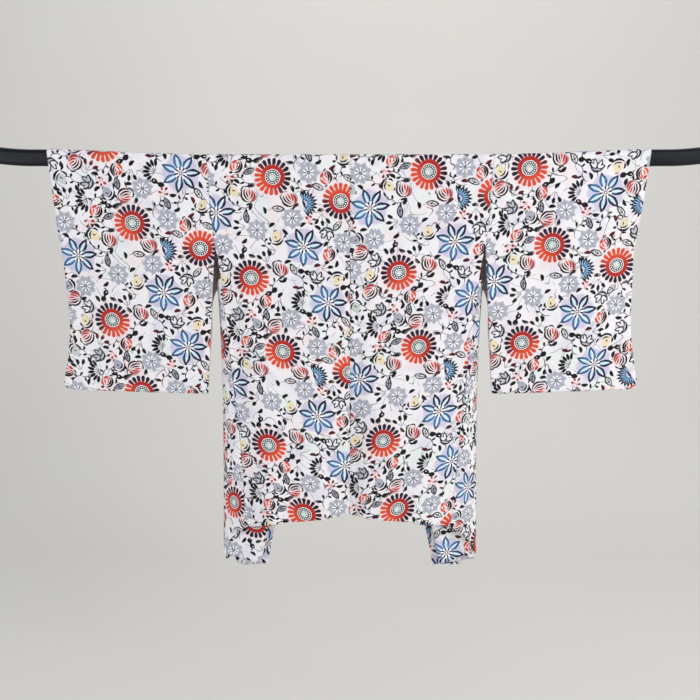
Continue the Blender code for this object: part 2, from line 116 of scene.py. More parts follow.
# The cut and hang of the cloth, as the solids have them.
RAIL_LINE = Table("x rise", (
    (0.000, 0.0000), (0.200, 0.0000), (0.300, 0.0006), (0.400, 0.0026), (0.500, 0.0062),
    (0.570, 0.0092), (0.625, 0.0115), (0.637, 0.0118), (0.665, 0.0118), (0.690, 0.0128),
    (0.720, 0.0155), (0.750, 0.0195),
))
BACK_EDGE = Table("z left right y", (
    (+0.020, 0.2955, 0.2955, -0.0185), (-0.100, 0.2905, 0.2905, -0.0185),
    (-0.170, 0.2840, 0.2840, -0.0182), (-0.205, 0.2780, 0.2780, -0.0150),
    (-0.240, 0.2740, 0.2740, -0.0120), (-0.330, 0.2680, 0.2675, -0.0080),
    (-0.460, 0.2560, 0.2533, -0.0070), (-0.640, 0.2410, 0.2392, -0.0070),
    (-0.830, 0.2360, 0.2251, -0.0080),
))
FRONT_EDGE = Table("z x y", (
    (+0.020, 0.2955, 0.0185), (-0.100, 0.2915, 0.0185), (-0.185, 0.2885, 0.0185),
    (-0.250, 0.2865, 0.0180), (-0.262, 0.2850, 0.0175), (-0.285, 0.2770, 0.0150),
    (-0.320, 0.2750, 0.0120), (-0.460, 0.2750, 0.0120), (-0.640, 0.2785, 0.0150),
    (-0.930, 0.2875, 0.0200),
))
COLLAR_SEAM = Table("z x", (
    (-0.140, 0.0900), (-0.250, 0.1030), (-0.400, 0.1290), (-0.550, 0.1650), (-0.700, 0.2040),
    (-0.850, 0.2400), (-0.940, 0.2570),
))
CUFF_LINE = Table("z left right", (
    (+0.030, 0.6250, 0.6210), (-0.080, 0.6166, 0.6110), (-0.163, 0.6110, 0.6015),
    (-0.230, 0.6077, 0.6020), (-0.359, 0.6035, 0.6057), (-0.426, 0.6123, 0.6150),
    (-0.500, 0.6300, 0.6320),
))
SLEEVE_INNER = Table("z back front", (
    (-0.170, 0.2840, 0.2885), (-0.262, 0.2915, 0.2850), (-0.285, 0.2932, 0.2940),
    (-0.360, 0.2992, 0.3005), (-0.500, 0.3105, 0.3120),
))
BACK_FOLD = Table("u out", (
    (0.000, +0.0150), (0.020, +0.0148), (0.060, +0.0105), (0.120, +0.0010), (0.200, -0.0070),
    (0.330, -0.0110), (0.520, -0.0080), (0.700, -0.0100), (0.850, -0.0045), (1.000, 0.0000),
))
FRONT_HEM = Table("t z", (
    (0.00, -0.886), (0.30, -0.907), (0.55, -0.912), (0.78, -0.908), (0.92, -0.919),
    (1.00, -0.929),
))
PLEAT_START = Table("z run", (
    (-0.140, 0.1250), (-0.600, 0.1080), (-0.830, 0.0850), (-0.925, 0.0690),
))


class Side(Enum):
    """The two halves of the jacket. The left one is on -X."""

    LEFT = -1
    RIGHT = 1

    @property
    def word(self) -> str:
        """The side's name as the nodes have it."""
        return self.name.lower()


class Layer(Enum):
    """The two layers of the hanging jacket: its back towards -Y, its fronts towards +Y."""

    BACK = -1
    FRONT = 1


@dataclass(frozen=True)
class Crease:
    """A soft fold in one layer of cloth, along a straight line.

    It stands out from the layer's outer face where rise is above 0, and dips in below 0. It dies
    out at both ends, over the share of its length that fade gives.
    """

    layer: Layer
    start: tuple[float, float]
    end: tuple[float, float]
    width: float
    rise: float
    fade: float = 0.35

    def at(self, x: Array, z: Array) -> Array:
        """How far the fold lifts the cloth.

        Args:
            x: places across, in metres.
            z: places up.

        Returns:
            The lift at each place.
        """
        (x0, z0), (x1, z1) = self.start, self.end
        long = math.hypot(x1 - x0, z1 - z0)
        way_x, way_z = (x1 - x0) / long, (z1 - z0) / long
        along = ((x - x0) * way_x + (z - z0) * way_z) / long
        across = (x - x0) * way_z - (z - z0) * way_x
        ends = eased(along / self.fade) * eased((1 - along) / self.fade)
        return self.rise * np.exp(-((across / self.width) ** 2)) * ends


@dataclass(frozen=True)
class Drape:
    """How the whole jacket hangs: what every piece of it shares.

    Two waves run across each layer of cloth, a slow one that sways on its way down and a fine one
    that slants and fades in down the cloth. Their rises are in metres and their turns in radians for
    each metre.
    """

    wrap_half: float = 0.0185
    wrap_round: float = 0.0100
    shoulder: float = 0.2955
    neck_radius: float = 0.090
    neck_top: float = -0.050
    back_turn: float = 0.72
    fold_top: float = -0.09
    fold_growth: float = 1.3
    back_hem_centre: float = -0.779
    back_hem_side: float = -0.808
    front_cut_top: float = 0.1985
    front_cut_hem: float = 0.2270
    pleat_round: float = 0.0090
    front_belly: float = 0.004
    belly_top: float = -0.25
    flush_share: float = 0.35
    flush_end: float = -0.30
    front_ease: float = 0.30
    arm_end_back: float = -0.170
    arm_end_front: float = -0.262
    gusset_top_back: float = -0.240
    gusset_top_front: float = -0.285
    seam_gap: float = 0.0005
    free_below: float = -0.025
    free_ease: float = 0.12
    slow_rise: float = 0.0009
    slow_turn: float = 21.0
    slow_sway: float = 2.3
    sway_turn: float = 7.0
    layer_shift: float = 1.1
    fine_rise: float = 0.0007
    fine_turn: float = 47.0
    fine_slant: float = 9.0
    fine_ease: float = 0.5
    bend_rows: int = 8
    flat_rows: int = 5
    halvings: int = 40
    creases: tuple[Crease, ...] = ()

    @property
    def wrap_flat(self) -> float:
        """Half the flat width of the cloth's loop on top of the rail."""
        return self.wrap_half - self.wrap_round

    @property
    def wrap_end(self) -> float:
        """Run of cloth from the rail's top line to where it hangs free."""
        return self.wrap_flat + self.wrap_round * math.pi / 2

    @property
    def neck_floor(self) -> float:
        """Height where the round of the neck ends and the fronts part."""
        return self.neck_top - self.neck_radius

    def rail_rise(self, x: Array) -> Array:
        """How far the rail stands above its middle at x."""
        return RAIL_LINE.at("rise", np.abs(x))

    def relief(self, layer: Layer, side: Side, x: Array, z: Array) -> Array:
        """The soft folds and slow waves of one layer.

        Args:
            layer: the back or the fronts.
            side: the half of the jacket, for pieces made on +X and mirrored.
            x: places across, above 0.
            z: hang heights.

        Returns:
            How far the cloth stands out of its plain hang, in metres.
        """
        world_x = side.value * x
        sway = self.slow_sway * np.sin(self.sway_turn * z) + self.layer_shift * layer.value
        lift = self.slow_rise * np.sin(self.slow_turn * world_x + sway)
        fine = np.sin(self.fine_turn * world_x - self.fine_slant * z + layer.value)
        lift = lift + self.fine_rise * fine * eased(-z / self.fine_ease)
        for crease in self.creases:
            if crease.layer is layer:
                lift = lift + crease.at(world_x, z)
        return lift * eased((self.free_below - z) / self.free_ease)

    def over_rail(self, run: Array) -> tuple[Array, Array]:
        """Where the cloth's middle surface is on its way over the rail.

        Args:
            run: cloth from the rail's top line, below 0 on the back's side.

        Returns:
            Its y and its height over the rail's axis.
        """
        side, run = np.sign(run), np.abs(run)
        turn = np.clip((run - self.wrap_flat) / self.wrap_round, 0, math.pi / 2)
        y = np.minimum(run, self.wrap_flat) + self.wrap_round * np.sin(turn)
        z = self.wrap_flat + self.wrap_round * np.cos(turn) - np.maximum(run - self.wrap_end, 0)
        return side * y, z

    def wrap_runs(self) -> Array:
        """The rows of cloth over the rail, as runs from its top line, back to front."""
        bend = np.linspace(self.wrap_flat, self.wrap_end, self.bend_rows)
        flat = np.linspace(-self.wrap_flat, self.wrap_flat, self.flat_rows)
        return np.concatenate([-bend[::-1], flat[1:-1], bend])

    def cloth_run(self, z: Array) -> Array:
        """Cloth between the rail's top line and hang height z."""
        return self.wrap_end + self.wrap_flat - z

    def back_hem(self, share: Array) -> Array:
        """Height of the back's hem, which rises to centre back."""
        return self.back_hem_centre + (self.back_hem_side - self.back_hem_centre) * share ** 2

    def back_point(self, side: Side, share: Array, z: Array) -> Array:
        """Places on the back.

        Args:
            side: the half of the jacket.
            share: of the half width, from centre back.
            z: hang heights.

        Returns:
            Points, for the half on +X.
        """
        edge = BACK_EDGE.at(side.word, z)
        fallen = (self.fold_top - z) / (self.fold_top - self.back_hem_centre)
        fullness = eased(fallen) ** self.fold_growth
        x = share * edge
        y = -self.wrap_half + fullness * BACK_FOLD.at("out", share)
        turned = eased((share - self.back_turn) / (1 - self.back_turn))
        y = y + (BACK_EDGE.at("y", z) + self.wrap_half) * turned
        y = y - self.relief(Layer.BACK, side, x, z)
        return np.stack([x, y, z + self.rail_rise(x)], axis=-1)

    def front_cut(self, z: Array) -> Array:
        """Width of a front's cloth, from side seam to collar seam.

        Args:
            z: hang heights.

        Returns:
            The width at each of them.
        """
        down = np.clip((z - self.neck_floor) / (FRONT_HEM.at("z", 1.0) - self.neck_floor), 0, 1)
        cut = self.front_cut_top + (self.front_cut_hem - self.front_cut_top) * down
        return np.maximum(cut, FRONT_EDGE.at("x", z) - COLLAR_SEAM.at("x", z))

    def pleat_turn(self, spare: Array) -> tuple[Array, Array]:
        """How far a pleat's turns turn, and the straight run between them.

        Args:
            spare: cloth that the pleat takes up.

        Returns:
            The turn in radians, and the straight run in metres.
        """
        low, high = np.zeros_like(spare), np.full_like(spare, math.pi)
        for _ in range(self.halvings):
            middle = (low + high) / 2
            short = 2 * self.pleat_round * (middle - np.sin(middle)) < spare
            low, high = np.where(short, middle, low), np.where(short, high, middle)
        return low, np.maximum((spare - 2 * math.pi * self.pleat_round) / 2, 0)

    def front_point(self, side: Side, t: Array, z: Array) -> Array:
        """Places on a front, which hangs in one soft pleat.

        Args:
            side: the half of the jacket.
            t: from the side seam, 0, to the collar seam, 1.
            z: hang heights.

        Returns:
            Points, for the half on +X.
        """
        side_x, side_y = FRONT_EDGE.at("x", z), FRONT_EDGE.at("y", z)
        cut = self.front_cut(z)
        turn, straight = self.pleat_turn(cut - (side_x - COLLAR_SEAM.at("x", z)))
        arc = self.pleat_round * turn
        first = PLEAT_START.at("run", z)
        gone = t * cut
        x = side_x - np.minimum(gone, first)
        bent = np.clip(gone - first, 0, arc) / self.pleat_round
        x = x - self.pleat_round * np.sin(bent)
        y = side_y + self.pleat_round * (1 - np.cos(bent))
        run = np.clip(gone - first - arc, 0, straight)
        x, y = x - run * np.cos(turn), y + run * np.sin(turn)
        left = turn - np.clip(gone - first - arc - straight, 0, arc) / self.pleat_round
        x = x - self.pleat_round * (np.sin(turn) - np.sin(left))
        y = y + self.pleat_round * (np.cos(left) - np.cos(turn))
        x = x - np.maximum(gone - first - 2 * arc - straight, 0)
        belly = eased((self.belly_top - z) / self.front_ease)
        y = y + self.front_belly * np.sin(math.pi * np.minimum(gone / first, 1)) * belly
        flush = 1 - eased((self.flush_end - z) / self.front_ease)
        y = y + (self.wrap_half - side_y) * eased(t / self.flush_share) * flush
        y = y + self.relief(Layer.FRONT, side, x, z)
        return np.stack([x, y, z + self.rail_rise(x)], axis=-1)

    def neck_height(self, x: Array) -> Array:
        """Height of the round neck seam at x."""
        return self.neck_floor + np.sqrt(np.maximum(self.neck_radius ** 2 - x * x, 0))


# ---- Objects and meshes ----
def put(name: str, data: bpy.types.ID) -> bpy.types.Object:
    """Adds an object to the scene.

    Args:
        name: its name.
        data: its mesh, lamp or camera.

    Returns:
        The object.
    """
    made = bpy.data.objects.new(name, data)
    bpy.context.scene.collection.objects.link(made)
    return made


def face_towards(made: bpy.types.Object, at: Sequence[float], to: Sequence[float]) -> None:
    """Stands a lamp or the camera at one place, with its face towards another."""
    made.location = at
    made.rotation_euler = (Vector(to) - Vector(at)).to_track_quat("-Z", "Y").to_euler()


def smooth_mesh(name: str, points: Sequence[Sequence[float]], faces: Sequence[Sequence[int]],
                finishes: Sequence[bpy.types.Material]) -> bpy.types.Mesh:
    """A smoothly shaded mesh.

    Args:
        name: its name.
        points: its points.
        faces: its faces, as numbers of points.
        finishes: its materials.

    Returns:
        The mesh.
    """
    mesh = bpy.data.meshes.new(name)
    mesh.from_pydata(points, [], faces)
    for finish in finishes:
        mesh.materials.append(finish)
    mesh.shade_smooth()
    return mesh


# ---- Cloth as a mesh ----
class Cloth:
    """The middle surface of one piece of cloth, and the wall that is made about it.

    Points and print places are kept apart, because two edges of a tube can share a point where
    the print on them doesn't meet. A turned edge ends in a rounded lip, which stands out by LIP
    times the wall.
    """

    LIP = 0.30

    def __init__(self) -> None:
        """An empty piece."""
        self.points: list[Array] = []
        self.prints: list[Array] = []
        self.corners: list[tuple[int, ...]] = []
        self.places: list[tuple[int, ...]] = []
        self.lined: list[bool] = []

    @staticmethod
    def _keep(blocks: list[Array], places: Array) -> Array:
        """Adds a block of places to those kept already.

        Args:
            blocks: the places so far.
            places: the new ones, in any layout.

        Returns:
            Their numbers, in the same layout.
        """
        flat = places.reshape(-1, places.shape[-1])
        first = sum(len(block) for block in blocks)
        blocks.append(flat)
        return np.arange(first, first + len(flat)).reshape(places.shape[:-1])

    def add(self, points: Array) -> Array:
        """Adds points and gives their numbers in the same layout."""
        return self._keep(self.points, points)

    def ink(self, places: Array) -> Array:
        """Adds places on the print, in metres of cloth, and gives their numbers."""
        return self._keep(self.prints, places)

    def quads(self, points: Array, inks: Array, keep: Optional[Array] = None,
              lined: Optional[Array] = None) -> None:
        """Faces between the rows and columns of a grid.

        Args:
            points: numbers of the grid's points, row by row.
            inks: numbers of their print places.
            keep: which faces are made, all if none is given.
            lined: which faces have the lining on their inside, all if none is given.
        """
        rows, columns = points.shape[0] - 1, points.shape[1] - 1
        for j in range(rows):
            for i in range(columns):
                if keep is not None and not keep[j, i]:
                    continue
                ring = ((j, i), (j, i + 1), (j + 1, i + 1), (j + 1, i))
                self.corners.append(tuple(int(points[k]) for k in ring))
                self.places.append(tuple(int(inks[k]) for k in ring))
                self.lined.append(bool(lined is None or lined[j, i]))

    def _edges_once(self) -> dict[tuple[int, int], tuple[int, int, int]]:
        """The edges with one face, as (from, to) with the face and its two corners."""
        seen: dict[tuple[int, int], tuple[int, int, int]] = {}
        for f, face in enumerate(self.corners):
            for k, start in enumerate(face):
                end = face[(k + 1) % len(face)]
                if start == end:
                    continue
                if (end, start) in seen:
                    del seen[end, start]
                else:
                    seen[start, end] = (f, k, (k + 1) % len(face))
        return seen

    def _normals(self, points: Array) -> Array:
        """The way that the cloth's outer face looks.

        Args:
            points: its points.

        Returns:
            The direction at each point.
        """
        normals = np.zeros_like(points)
        for face in self.corners:
            a, b, c, d = (points[face[k % len(face)]] for k in range(4))
            normals[list(set(face))] += np.cross(c - a, (d if len(face) > 3 else c) - b)
        return normals / np.maximum(np.linalg.norm(normals, axis=1, keepdims=True), TINY)

    def shell(self, name: str, side: Side, wall: float, hem: float, panel: "Panel",
              finishes: Sequence[bpy.types.Material]) -> bpy.types.Object:
        """Makes the closed wall about the middle surface.

        Args:
            name: the piece's name.
            side: where it stands; on the left it is mirrored.
            wall: the cloth's thickness.
            hem: how many times thicker the cloth is at its turned edges.
            panel: where on the printed cloth the piece is cut.
            finishes: the material of its outside and of its lining.

        Returns:
            The piece.
        """
        points = np.concatenate(self.points)
        normals = self._normals(points)
        edges = self._edges_once()
        rim_points = sorted({p for edge in edges for p in edge})
        rim = {p: 2 * len(points) + k for k, p in enumerate(rim_points)}
        away = np.zeros_like(points)
        for start, end in edges:
            out = np.cross(points[end] - points[start], normals[start])
            away[[start, end]] += out / max(np.linalg.norm(out), TINY)
        away /= np.maximum(np.linalg.norm(away, axis=1, keepdims=True), TINY)
        walls = np.full(len(points), wall)
        walls[rim_points] *= hem
        step = normals * walls[:, None] / 2
        lip = points[rim_points] + away[rim_points] * wall * self.LIP
        verts = np.concatenate([points + step, points - step, lip])
        faces, places, kinds = [], [], []
        count = len(points)
        for face, place, lined in zip(self.corners, self.places, self.lined):
            faces += [face, tuple(count + p for p in reversed(face))]
            places += [place, tuple(reversed(place))]
            kinds += [0, 1 if lined else 0]
        for (start, end), (f, k, following) in edges.items():
            a, b = self.places[f][k], self.places[f][following]
            faces += [(end, start, rim[start], rim[end]),
                      (rim[end], rim[start], count + start, count + end)]
            places += [(b, a, a, b), (b, a, a, b)]
            kinds += [0, 0]
        verts = verts * np.array([side.value, 1, 1])
        if side is Side.LEFT:
            faces = [tuple(reversed(f)) for f in faces]
            places = [tuple(reversed(f)) for f in places]
        mesh = smooth_mesh(name, [tuple(v) for v in verts], faces, finishes)
        mesh.polygons.foreach_set("material_index", kinds)
        printed = panel.on_cloth(np.concatenate(self.prints))
        layer = mesh.uv_layers.new(name="cloth")
        layer.data.foreach_set("uv", printed[np.concatenate([list(p) for p in places])].ravel())
        mesh.update()
        return put(name, mesh)


@dataclass(frozen=True)
class Panel:
    """Where on the printed cloth, in centimetres, a piece has its own zero."""

    across: float
    along: float
    mirrored: bool = False

    def on_cloth(self, places: Array) -> Array:
        """Places on the whole cloth, in centimetres, from places on the piece, in metres."""
        way = np.array([-1.0 if self.mirrored else 1.0, 1.0])
        return places * way * CENTIMETRES + np.array([self.across, self.along])


# ---- Colours and node drawing ----
class Ink(Enum):
    """The dyes of the print and the other colours, as they look on the cloth."""

    GROUND = "f0edf1"
    LAVENDER = "cfcae0"
    MINT = "e0ece6"
    SAGE = "c6cfca"
    BLUSH = "f5dfdf"
    BEIGE = "ecdcb9"
    FOG = "bdbfca"
    MIST = "a9abb8"
    ASH = "8a8c98"
    BLACK = "100f17"
    CRIMSON = "b02a26"
    VERMILION = "dc4f31"
    ROSE = "d2544c"
    MAROON = "5c1820"
    NAVY = "171c33"
    STEEL = "3f6f9f"
    SKY = "a9cfe8"
    WHITE = "fbfafc"
    # painted shade: the slightly darker colour of the hollows of the crepe's pebble
    HOLLOW_SHADE = "f0f0f0"
    LIGHT = "ffffff"
    LINING = "d3bcb6"
    LINING_SHADE = "b39b97"
    WALL = "e3e2dd"

    @property
    def linear(self) -> Colour:
        """The colour as light, red, green and blue, with alpha 1."""
        parts = [int(self.value[k:k + 2], 16) / 255 for k in (0, 2, 4)]
        light = [p / 12.92 if p <= 0.04045 else ((p + 0.055) / 1.055) ** 2.4 for p in parts]
        return light[0], light[1], light[2], 1.0


Source = Union["Wire", float, int, Sequence[float], Ink]


class Wire:
    """A value on its way between nodes. Sums on it add nodes to its graph."""

    def __init__(self, graph: "Graph", socket: bpy.types.NodeSocket) -> None:
        """A wire from one output of a graph's node."""
        self.graph = graph
        self.socket = socket

    def __add__(self, other: Source) -> "Wire":
        """This and another."""
        return self.graph.math("ADD", self, other)

    def __sub__(self, other: Source) -> "Wire":
        """This less another."""
        return self.graph.math("SUBTRACT", self, other)

    def __rsub__(self, other: Source) -> "Wire":
        """Another less this."""
        return self.graph.math("SUBTRACT", other, self)

    def __mul__(self, other: Source) -> "Wire":
        """This times another."""
        return self.graph.math("MULTIPLY", self, other)

    def __abs__(self) -> "Wire":
        """This without its sign."""
        return self.graph.math("ABSOLUTE", self)

    def over(self, limit: Source, soft: float = 0.03) -> "Wire":
        """1 where this is over a limit, 0 under it, with a soft edge."""
        return self.graph.edge(self - limit, soft)

    def under(self, limit: Source, soft: float = 0.03) -> "Wire":
        """1 where this is under a limit, 0 over it, with a soft edge."""
        return self.graph.edge(limit - self, soft)


class Graph:
    """A node tree with short ways to draw in it.

    A Mix node has one set of sockets for each kind of value, so MIXED gives the numbers of the
    three inputs and of the output that a kind uses.
    """

    NUMBERS = ("LENGTH", "DISTANCE", "DOT_PRODUCT")
    MIXED = {"RGBA": ((0, 6, 7), 2), "VECTOR": ((0, 4, 5), 1)}

    def __init__(self, tree: bpy.types.NodeTree) -> None:
        """Draws in a tree, which may hold nodes already."""
        self.tree = tree

    def node(self, kind: str, **settings: object) -> bpy.types.Node:
        """Adds a node.

        Args:
            kind: the node's type.
            settings: its properties.

        Returns:
            The node.
        """
        made = self.tree.nodes.new(kind)
        for name, value in settings.items():
            setattr(made, name, value)
        return made

    def feed(self, socket: bpy.types.NodeSocket, source: Source) -> None:
        """Links a wire to a socket, or sets the socket's own value.

        Args:
            socket: the input.
            source: the wire, number, vector or ink that it gets.
        """
        if isinstance(source, Wire):
            self.tree.links.new(source.socket, socket)
        elif isinstance(source, Ink):
            socket.default_value = source.linear
        else:
            socket.default_value = source

    def fed(self, kind: str, sources: Sequence[Source], output: Union[int, str] = 0,
            **settings: object) -> Wire:
        """Adds a node and feeds its first sockets in order.

        Args:
            kind: the node's type.
            sources: what its sockets get.
            output: which of its outputs is wanted.
            settings: its properties.

        Returns:
            That output.
        """
        made = self.node(kind, **settings)
        for socket, source in zip(made.inputs, sources):
            self.feed(socket, source)
        return Wire(self, made.outputs[output])

    def math(self, operation: str, *sources: Source) -> Wire:
        """What a Math node makes of some numbers."""
        return self.fed("ShaderNodeMath", sources, operation=operation)

    def vector(self, operation: str, *sources: Source) -> Wire:
        """What a Vector Math node makes of some vectors: a number where the operation gives one."""
        output = "Value" if operation in self.NUMBERS else "Vector"
        return self.fed("ShaderNodeVectorMath", sources, output, operation=operation)

    def kept(self, value: Wire, low: float = 0.0, high: float = 1.0) -> Wire:
        """A value kept between two others."""
        return self.fed("ShaderNodeClamp", (value, low, high))

    def edge(self, inside: Wire, soft: float) -> Wire:
        """0 to 1 across a soft edge, in the middle of which inside is 0."""
        return self.kept(self.math("MULTIPLY_ADD", inside, 0.5 / soft, 0.5))

    def ramp(self, value: Wire, low: float, high: float, to: tuple[float, float] = (0, 1)) -> Wire:
        """A straight rise between two places, level beyond them.

        Args:
            value: what is read.
            low: where the rise starts.
            high: where it ends.
            to: the values at the two places.

        Returns:
            The risen value.
        """
        slope = (to[1] - to[0]) / (high - low)
        risen = self.math("MULTIPLY_ADD", value, slope, to[0] - slope * low)
        return self.kept(risen, min(to), max(to))

    def mix(self, share: Source, below: Source, above: Source) -> Wire:
        """One colour over another, which shows as far as the share goes, from 0 to 1."""
        return self._between("RGBA", share, below, above)

    def choose(self, share: Wire, first: Source, second: Source) -> Wire:
        """The first vector where share is 0, the second where it is 1."""
        return self._between("VECTOR", share, first, second)

    def _between(self, kind: str, *sources: Source) -> Wire:
        """Adds a Mix node.

        Args:
            kind: the kind of its values.
            sources: the share and the two values.

        Returns:
            The mixed value.
        """
        inputs, output = self.MIXED[kind]
        made = self.node("ShaderNodeMix", data_type=kind)
        for index, source in zip(inputs, sources):
            self.feed(made.inputs[index], source)
        return Wire(self, made.outputs[output])

    def noise(self, where: Wire, scale: float, detail: float = 1.0, colour: bool = False) -> Wire:
        """Soft noise, as a number or as a colour of three.

        Args:
            where: the place.
            scale: how many features there are to a unit.
            detail: how many finer layers lie on it.
            colour: whether three values are wanted.

        Returns:
            The noise, about 0.5 at the middle.
        """
        made = self.node("ShaderNodeTexNoise", noise_dimensions="3D")
        self.feed(made.inputs["Vector"], where)
        self.feed(made.inputs["Scale"], scale)
        self.feed(made.inputs["Detail"], detail)
        return Wire(self, made.outputs["Color" if colour else "Fac"])

    def split(self, vector: Wire) -> tuple[Wire, Wire, Wire]:
        """Takes a vector apart.

        Args:
            vector: the vector.

        Returns:
            Its three parts.
        """
        made = self.node("ShaderNodeSeparateXYZ")
        self.feed(made.inputs[0], vector)
        x, y, z = (Wire(self, output) for output in made.outputs)
        return x, y, z


# ---- The print ----
@dataclass
class Spot:
    """Where a place on the cloth is within the nearest motif of a kind, in centimetres."""

    graph: Graph
    place: Wire
    x: Wire
    y: Wire
    far: Wire
    turn: Wire
    seed: Wire

    def from_ray(self, rays: int, shift: float = 0.0) -> Wire:
        """How far a place is from the nearest of some rays about the middle.

        Args:
            rays: how many rays there are all round.
            shift: the first ray's turn, as a share of the gap between two.

        Returns:
            The distance along the arc, in centimetres.
        """
        pitch = 2 * math.pi / rays
        phase = self.graph.math("FRACT", self.turn * (1 / pitch) + shift)
        return abs(phase - 0.5) * pitch * self.far


@dataclass(frozen=True)
class Blade:
    """A brush stroke from one point to another, between two arcs, in centimetres.

    A bow is how far an arc's middle stands to the left of the straight way. Two bows of one sign
    make a crescent, and two of opposite signs make a leaf.
    """

    start: tuple[float, float]
    end: tuple[float, float]
    low: float
    high: float

    def _arc(self, spot: Spot, bow: float, way: float) -> Wire:
        """How far a place is past one of the arcs.

        Args:
            spot: the place within the motif.
            bow: the arc's bow.
            way: 1 to measure to the arc's right, -1 to its left.

        Returns:
            The distance, below zero on the arc's other side.
        """
        start, end = Vector(self.start), Vector(self.end)
        along = end - start
        left = Vector((-along.y, along.x)).normalized()
        radius = (along.length_squared / 4 + bow * bow) / (2 * bow)
        centre = (start + end) / 2 + left * (bow - radius)
        away = spot.graph.vector("DISTANCE", spot.place, (centre.x, centre.y, 0.0))
        sign = way * math.copysign(1.0, bow)
        return spot.graph.math("MULTIPLY_ADD", away, -sign, sign * abs(radius))

    def depth(self, spot: Spot) -> Wire:
        """How far a place is inside the stroke, below zero outside it."""
        high, low = self._arc(spot, self.high, 1.0), self._arc(spot, self.low, -1.0)
        return spot.graph.math("MINIMUM", high, low)


@dataclass(frozen=True)
class Rays:
    """Short strokes set like the rays of a star, each wider on its way out, in centimetres.

    Their half width grows from narrow to wide between the places low and high. They are cut off
    at start and end.
    """

    count: int
    shift: float
    low: float
    high: float
    narrow: float
    wide: float
    start: float
    end: float

    def shape(self, spot: Spot) -> Wire:
        """Where the strokes are.

        Args:
            spot: the place within the motif.

        Returns:
            1 on a stroke and 0 beside it.
        """
        half = spot.graph.ramp(spot.far, self.low, self.high, (self.narrow, self.wide))
        stroke = spot.from_ray(self.count, self.shift).under(half)
        return stroke * spot.far.over(self.start) * spot.far.under(self.end)


@dataclass(frozen=True)
class Halo:
    """A soft round spot of one ink under a motif: none at its rim, its whole share where full."""

    ink: Ink
    rim: float
    full: float
    share: float

    def lay(self, spot: Spot, below: Wire) -> Wire:
        """Lays the spot over what is printed already."""
        shape = spot.graph.ramp(spot.far, self.rim, self.full) * self.share
        return spot.graph.mix(shape, below, self.ink)


Blades = tuple[Blade, ...]
Discs = tuple[tuple[float, Ink], ...]


@dataclass(frozen=True)
class Motif:
    """A printed motif: how many a repeat holds, the room each takes, and how it is painted."""

    count: int
    room: float
    reach: float

    def paint(self, spot: Spot, below: Wire) -> Wire:
        """Lays the motif over what is printed already.

        Args:
            spot: the place within the motif.
            below: the colour under it.

        Returns:
            The colour with the motif on it.
        """
        raise NotImplementedError

    @staticmethod
    def brush(spot: Spot, below: Wire, ink: Source, blades: Blades, bold: float = 0.0) -> Wire:
        """Lays some strokes of one ink over what is printed already.

        Args:
            spot: the place within the motif.
            below: the colour under them.
            ink: their colour.
            blades: the strokes.
            bold: how much fuller than drawn they are all round.

        Returns:
            The colour with the strokes on it.
        """
        shape = blades[0].depth(spot)
        for blade in blades[1:]:
            shape = spot.graph.math("MAXIMUM", shape, blade.depth(spot))
        return spot.graph.mix(spot.graph.edge(shape + bold, INK_EDGE), below, ink)

    @staticmethod
    def stack(spot: Spot, below: Wire, discs: Discs) -> Wire:
        """Lays round discs on each other.

        Args:
            spot: the place within the motif.
            below: the colour under them.
            discs: the radius and the ink of each.

        Returns:
            The colour with the discs on it.
        """
        for radius, ink in discs:
            below = spot.graph.mix(spot.far.under(radius), below, ink)
        return below


@dataclass(frozen=True)
class Chrysanthemum(Motif):
    """A red flower with many round-ended petals, dark-tipped on one side, and a dotted ring."""

    count: int = 3
    room: float = 4.0
    reach: float = 4.7
    petals: int = 20
    radius: float = 3.80
    fill: float = 0.118
    tip: float = 0.42
    joined: float = 2.45
    vein: float = 0.03
    halo: Halo = Halo(Ink.BLUSH, 4.6, 3.6, 0.75)
    middle: Discs = ((1.70, Ink.CRIMSON), (1.60, Ink.WHITE), (1.45, Ink.BLACK))
    dots: int = 16
    dot_ring: float = 1.15
    dot: float = 0.145
    core: float = 0.84

    def paint(self, spot: Spot, below: Wire) -> Wire:
        """Petals, then the ring, the dots and the core."""
        g = spot.graph
        below = self.halo.lay(spot, below)
        off = spot.from_ray(self.petals)
        past = g.math("MAXIMUM", spot.far - (self.radius - self.tip), 0.0)
        petal = g.math("SQRT", off * off + past * past).under(spot.far * self.fill, soft=0.04)
        petal = g.math("MAXIMUM", petal, spot.far.under(self.joined, soft=0.12))
        streak = off.under(spot.far * self.vein, soft=0.08) * g.ramp(spot.far, 1.9, 2.6)
        red = g.mix(g.ramp(spot.y, 0.4, -2.2), Ink.CRIMSON, Ink.VERMILION)
        red = g.mix(streak * 0.5, red, Ink.ROSE)
        dark = g.ramp(spot.far, 2.25, 2.85) * g.ramp(spot.y, -1.5, -0.2)
        red = g.mix(dark, red, Ink.NAVY)
        painted = self.stack(spot, g.mix(petal, below, red), self.middle)
        ring = spot.far - self.dot_ring
        dot = spot.from_ray(self.dots)
        dot = g.math("SQRT", dot * dot + ring * ring).under(self.dot)
        painted = g.mix(dot, painted, Ink.WHITE)
        core = g.mix(g.ramp(g.noise(spot.place, 0.9), 0.35, 0.65), Ink.SAGE, Ink.MINT)
        hair = spot.from_ray(9, 0.3).under(0.06) * spot.far.over(0.45)
        return g.mix(spot.far.under(self.core), painted, g.mix(hair, core, Ink.ASH))


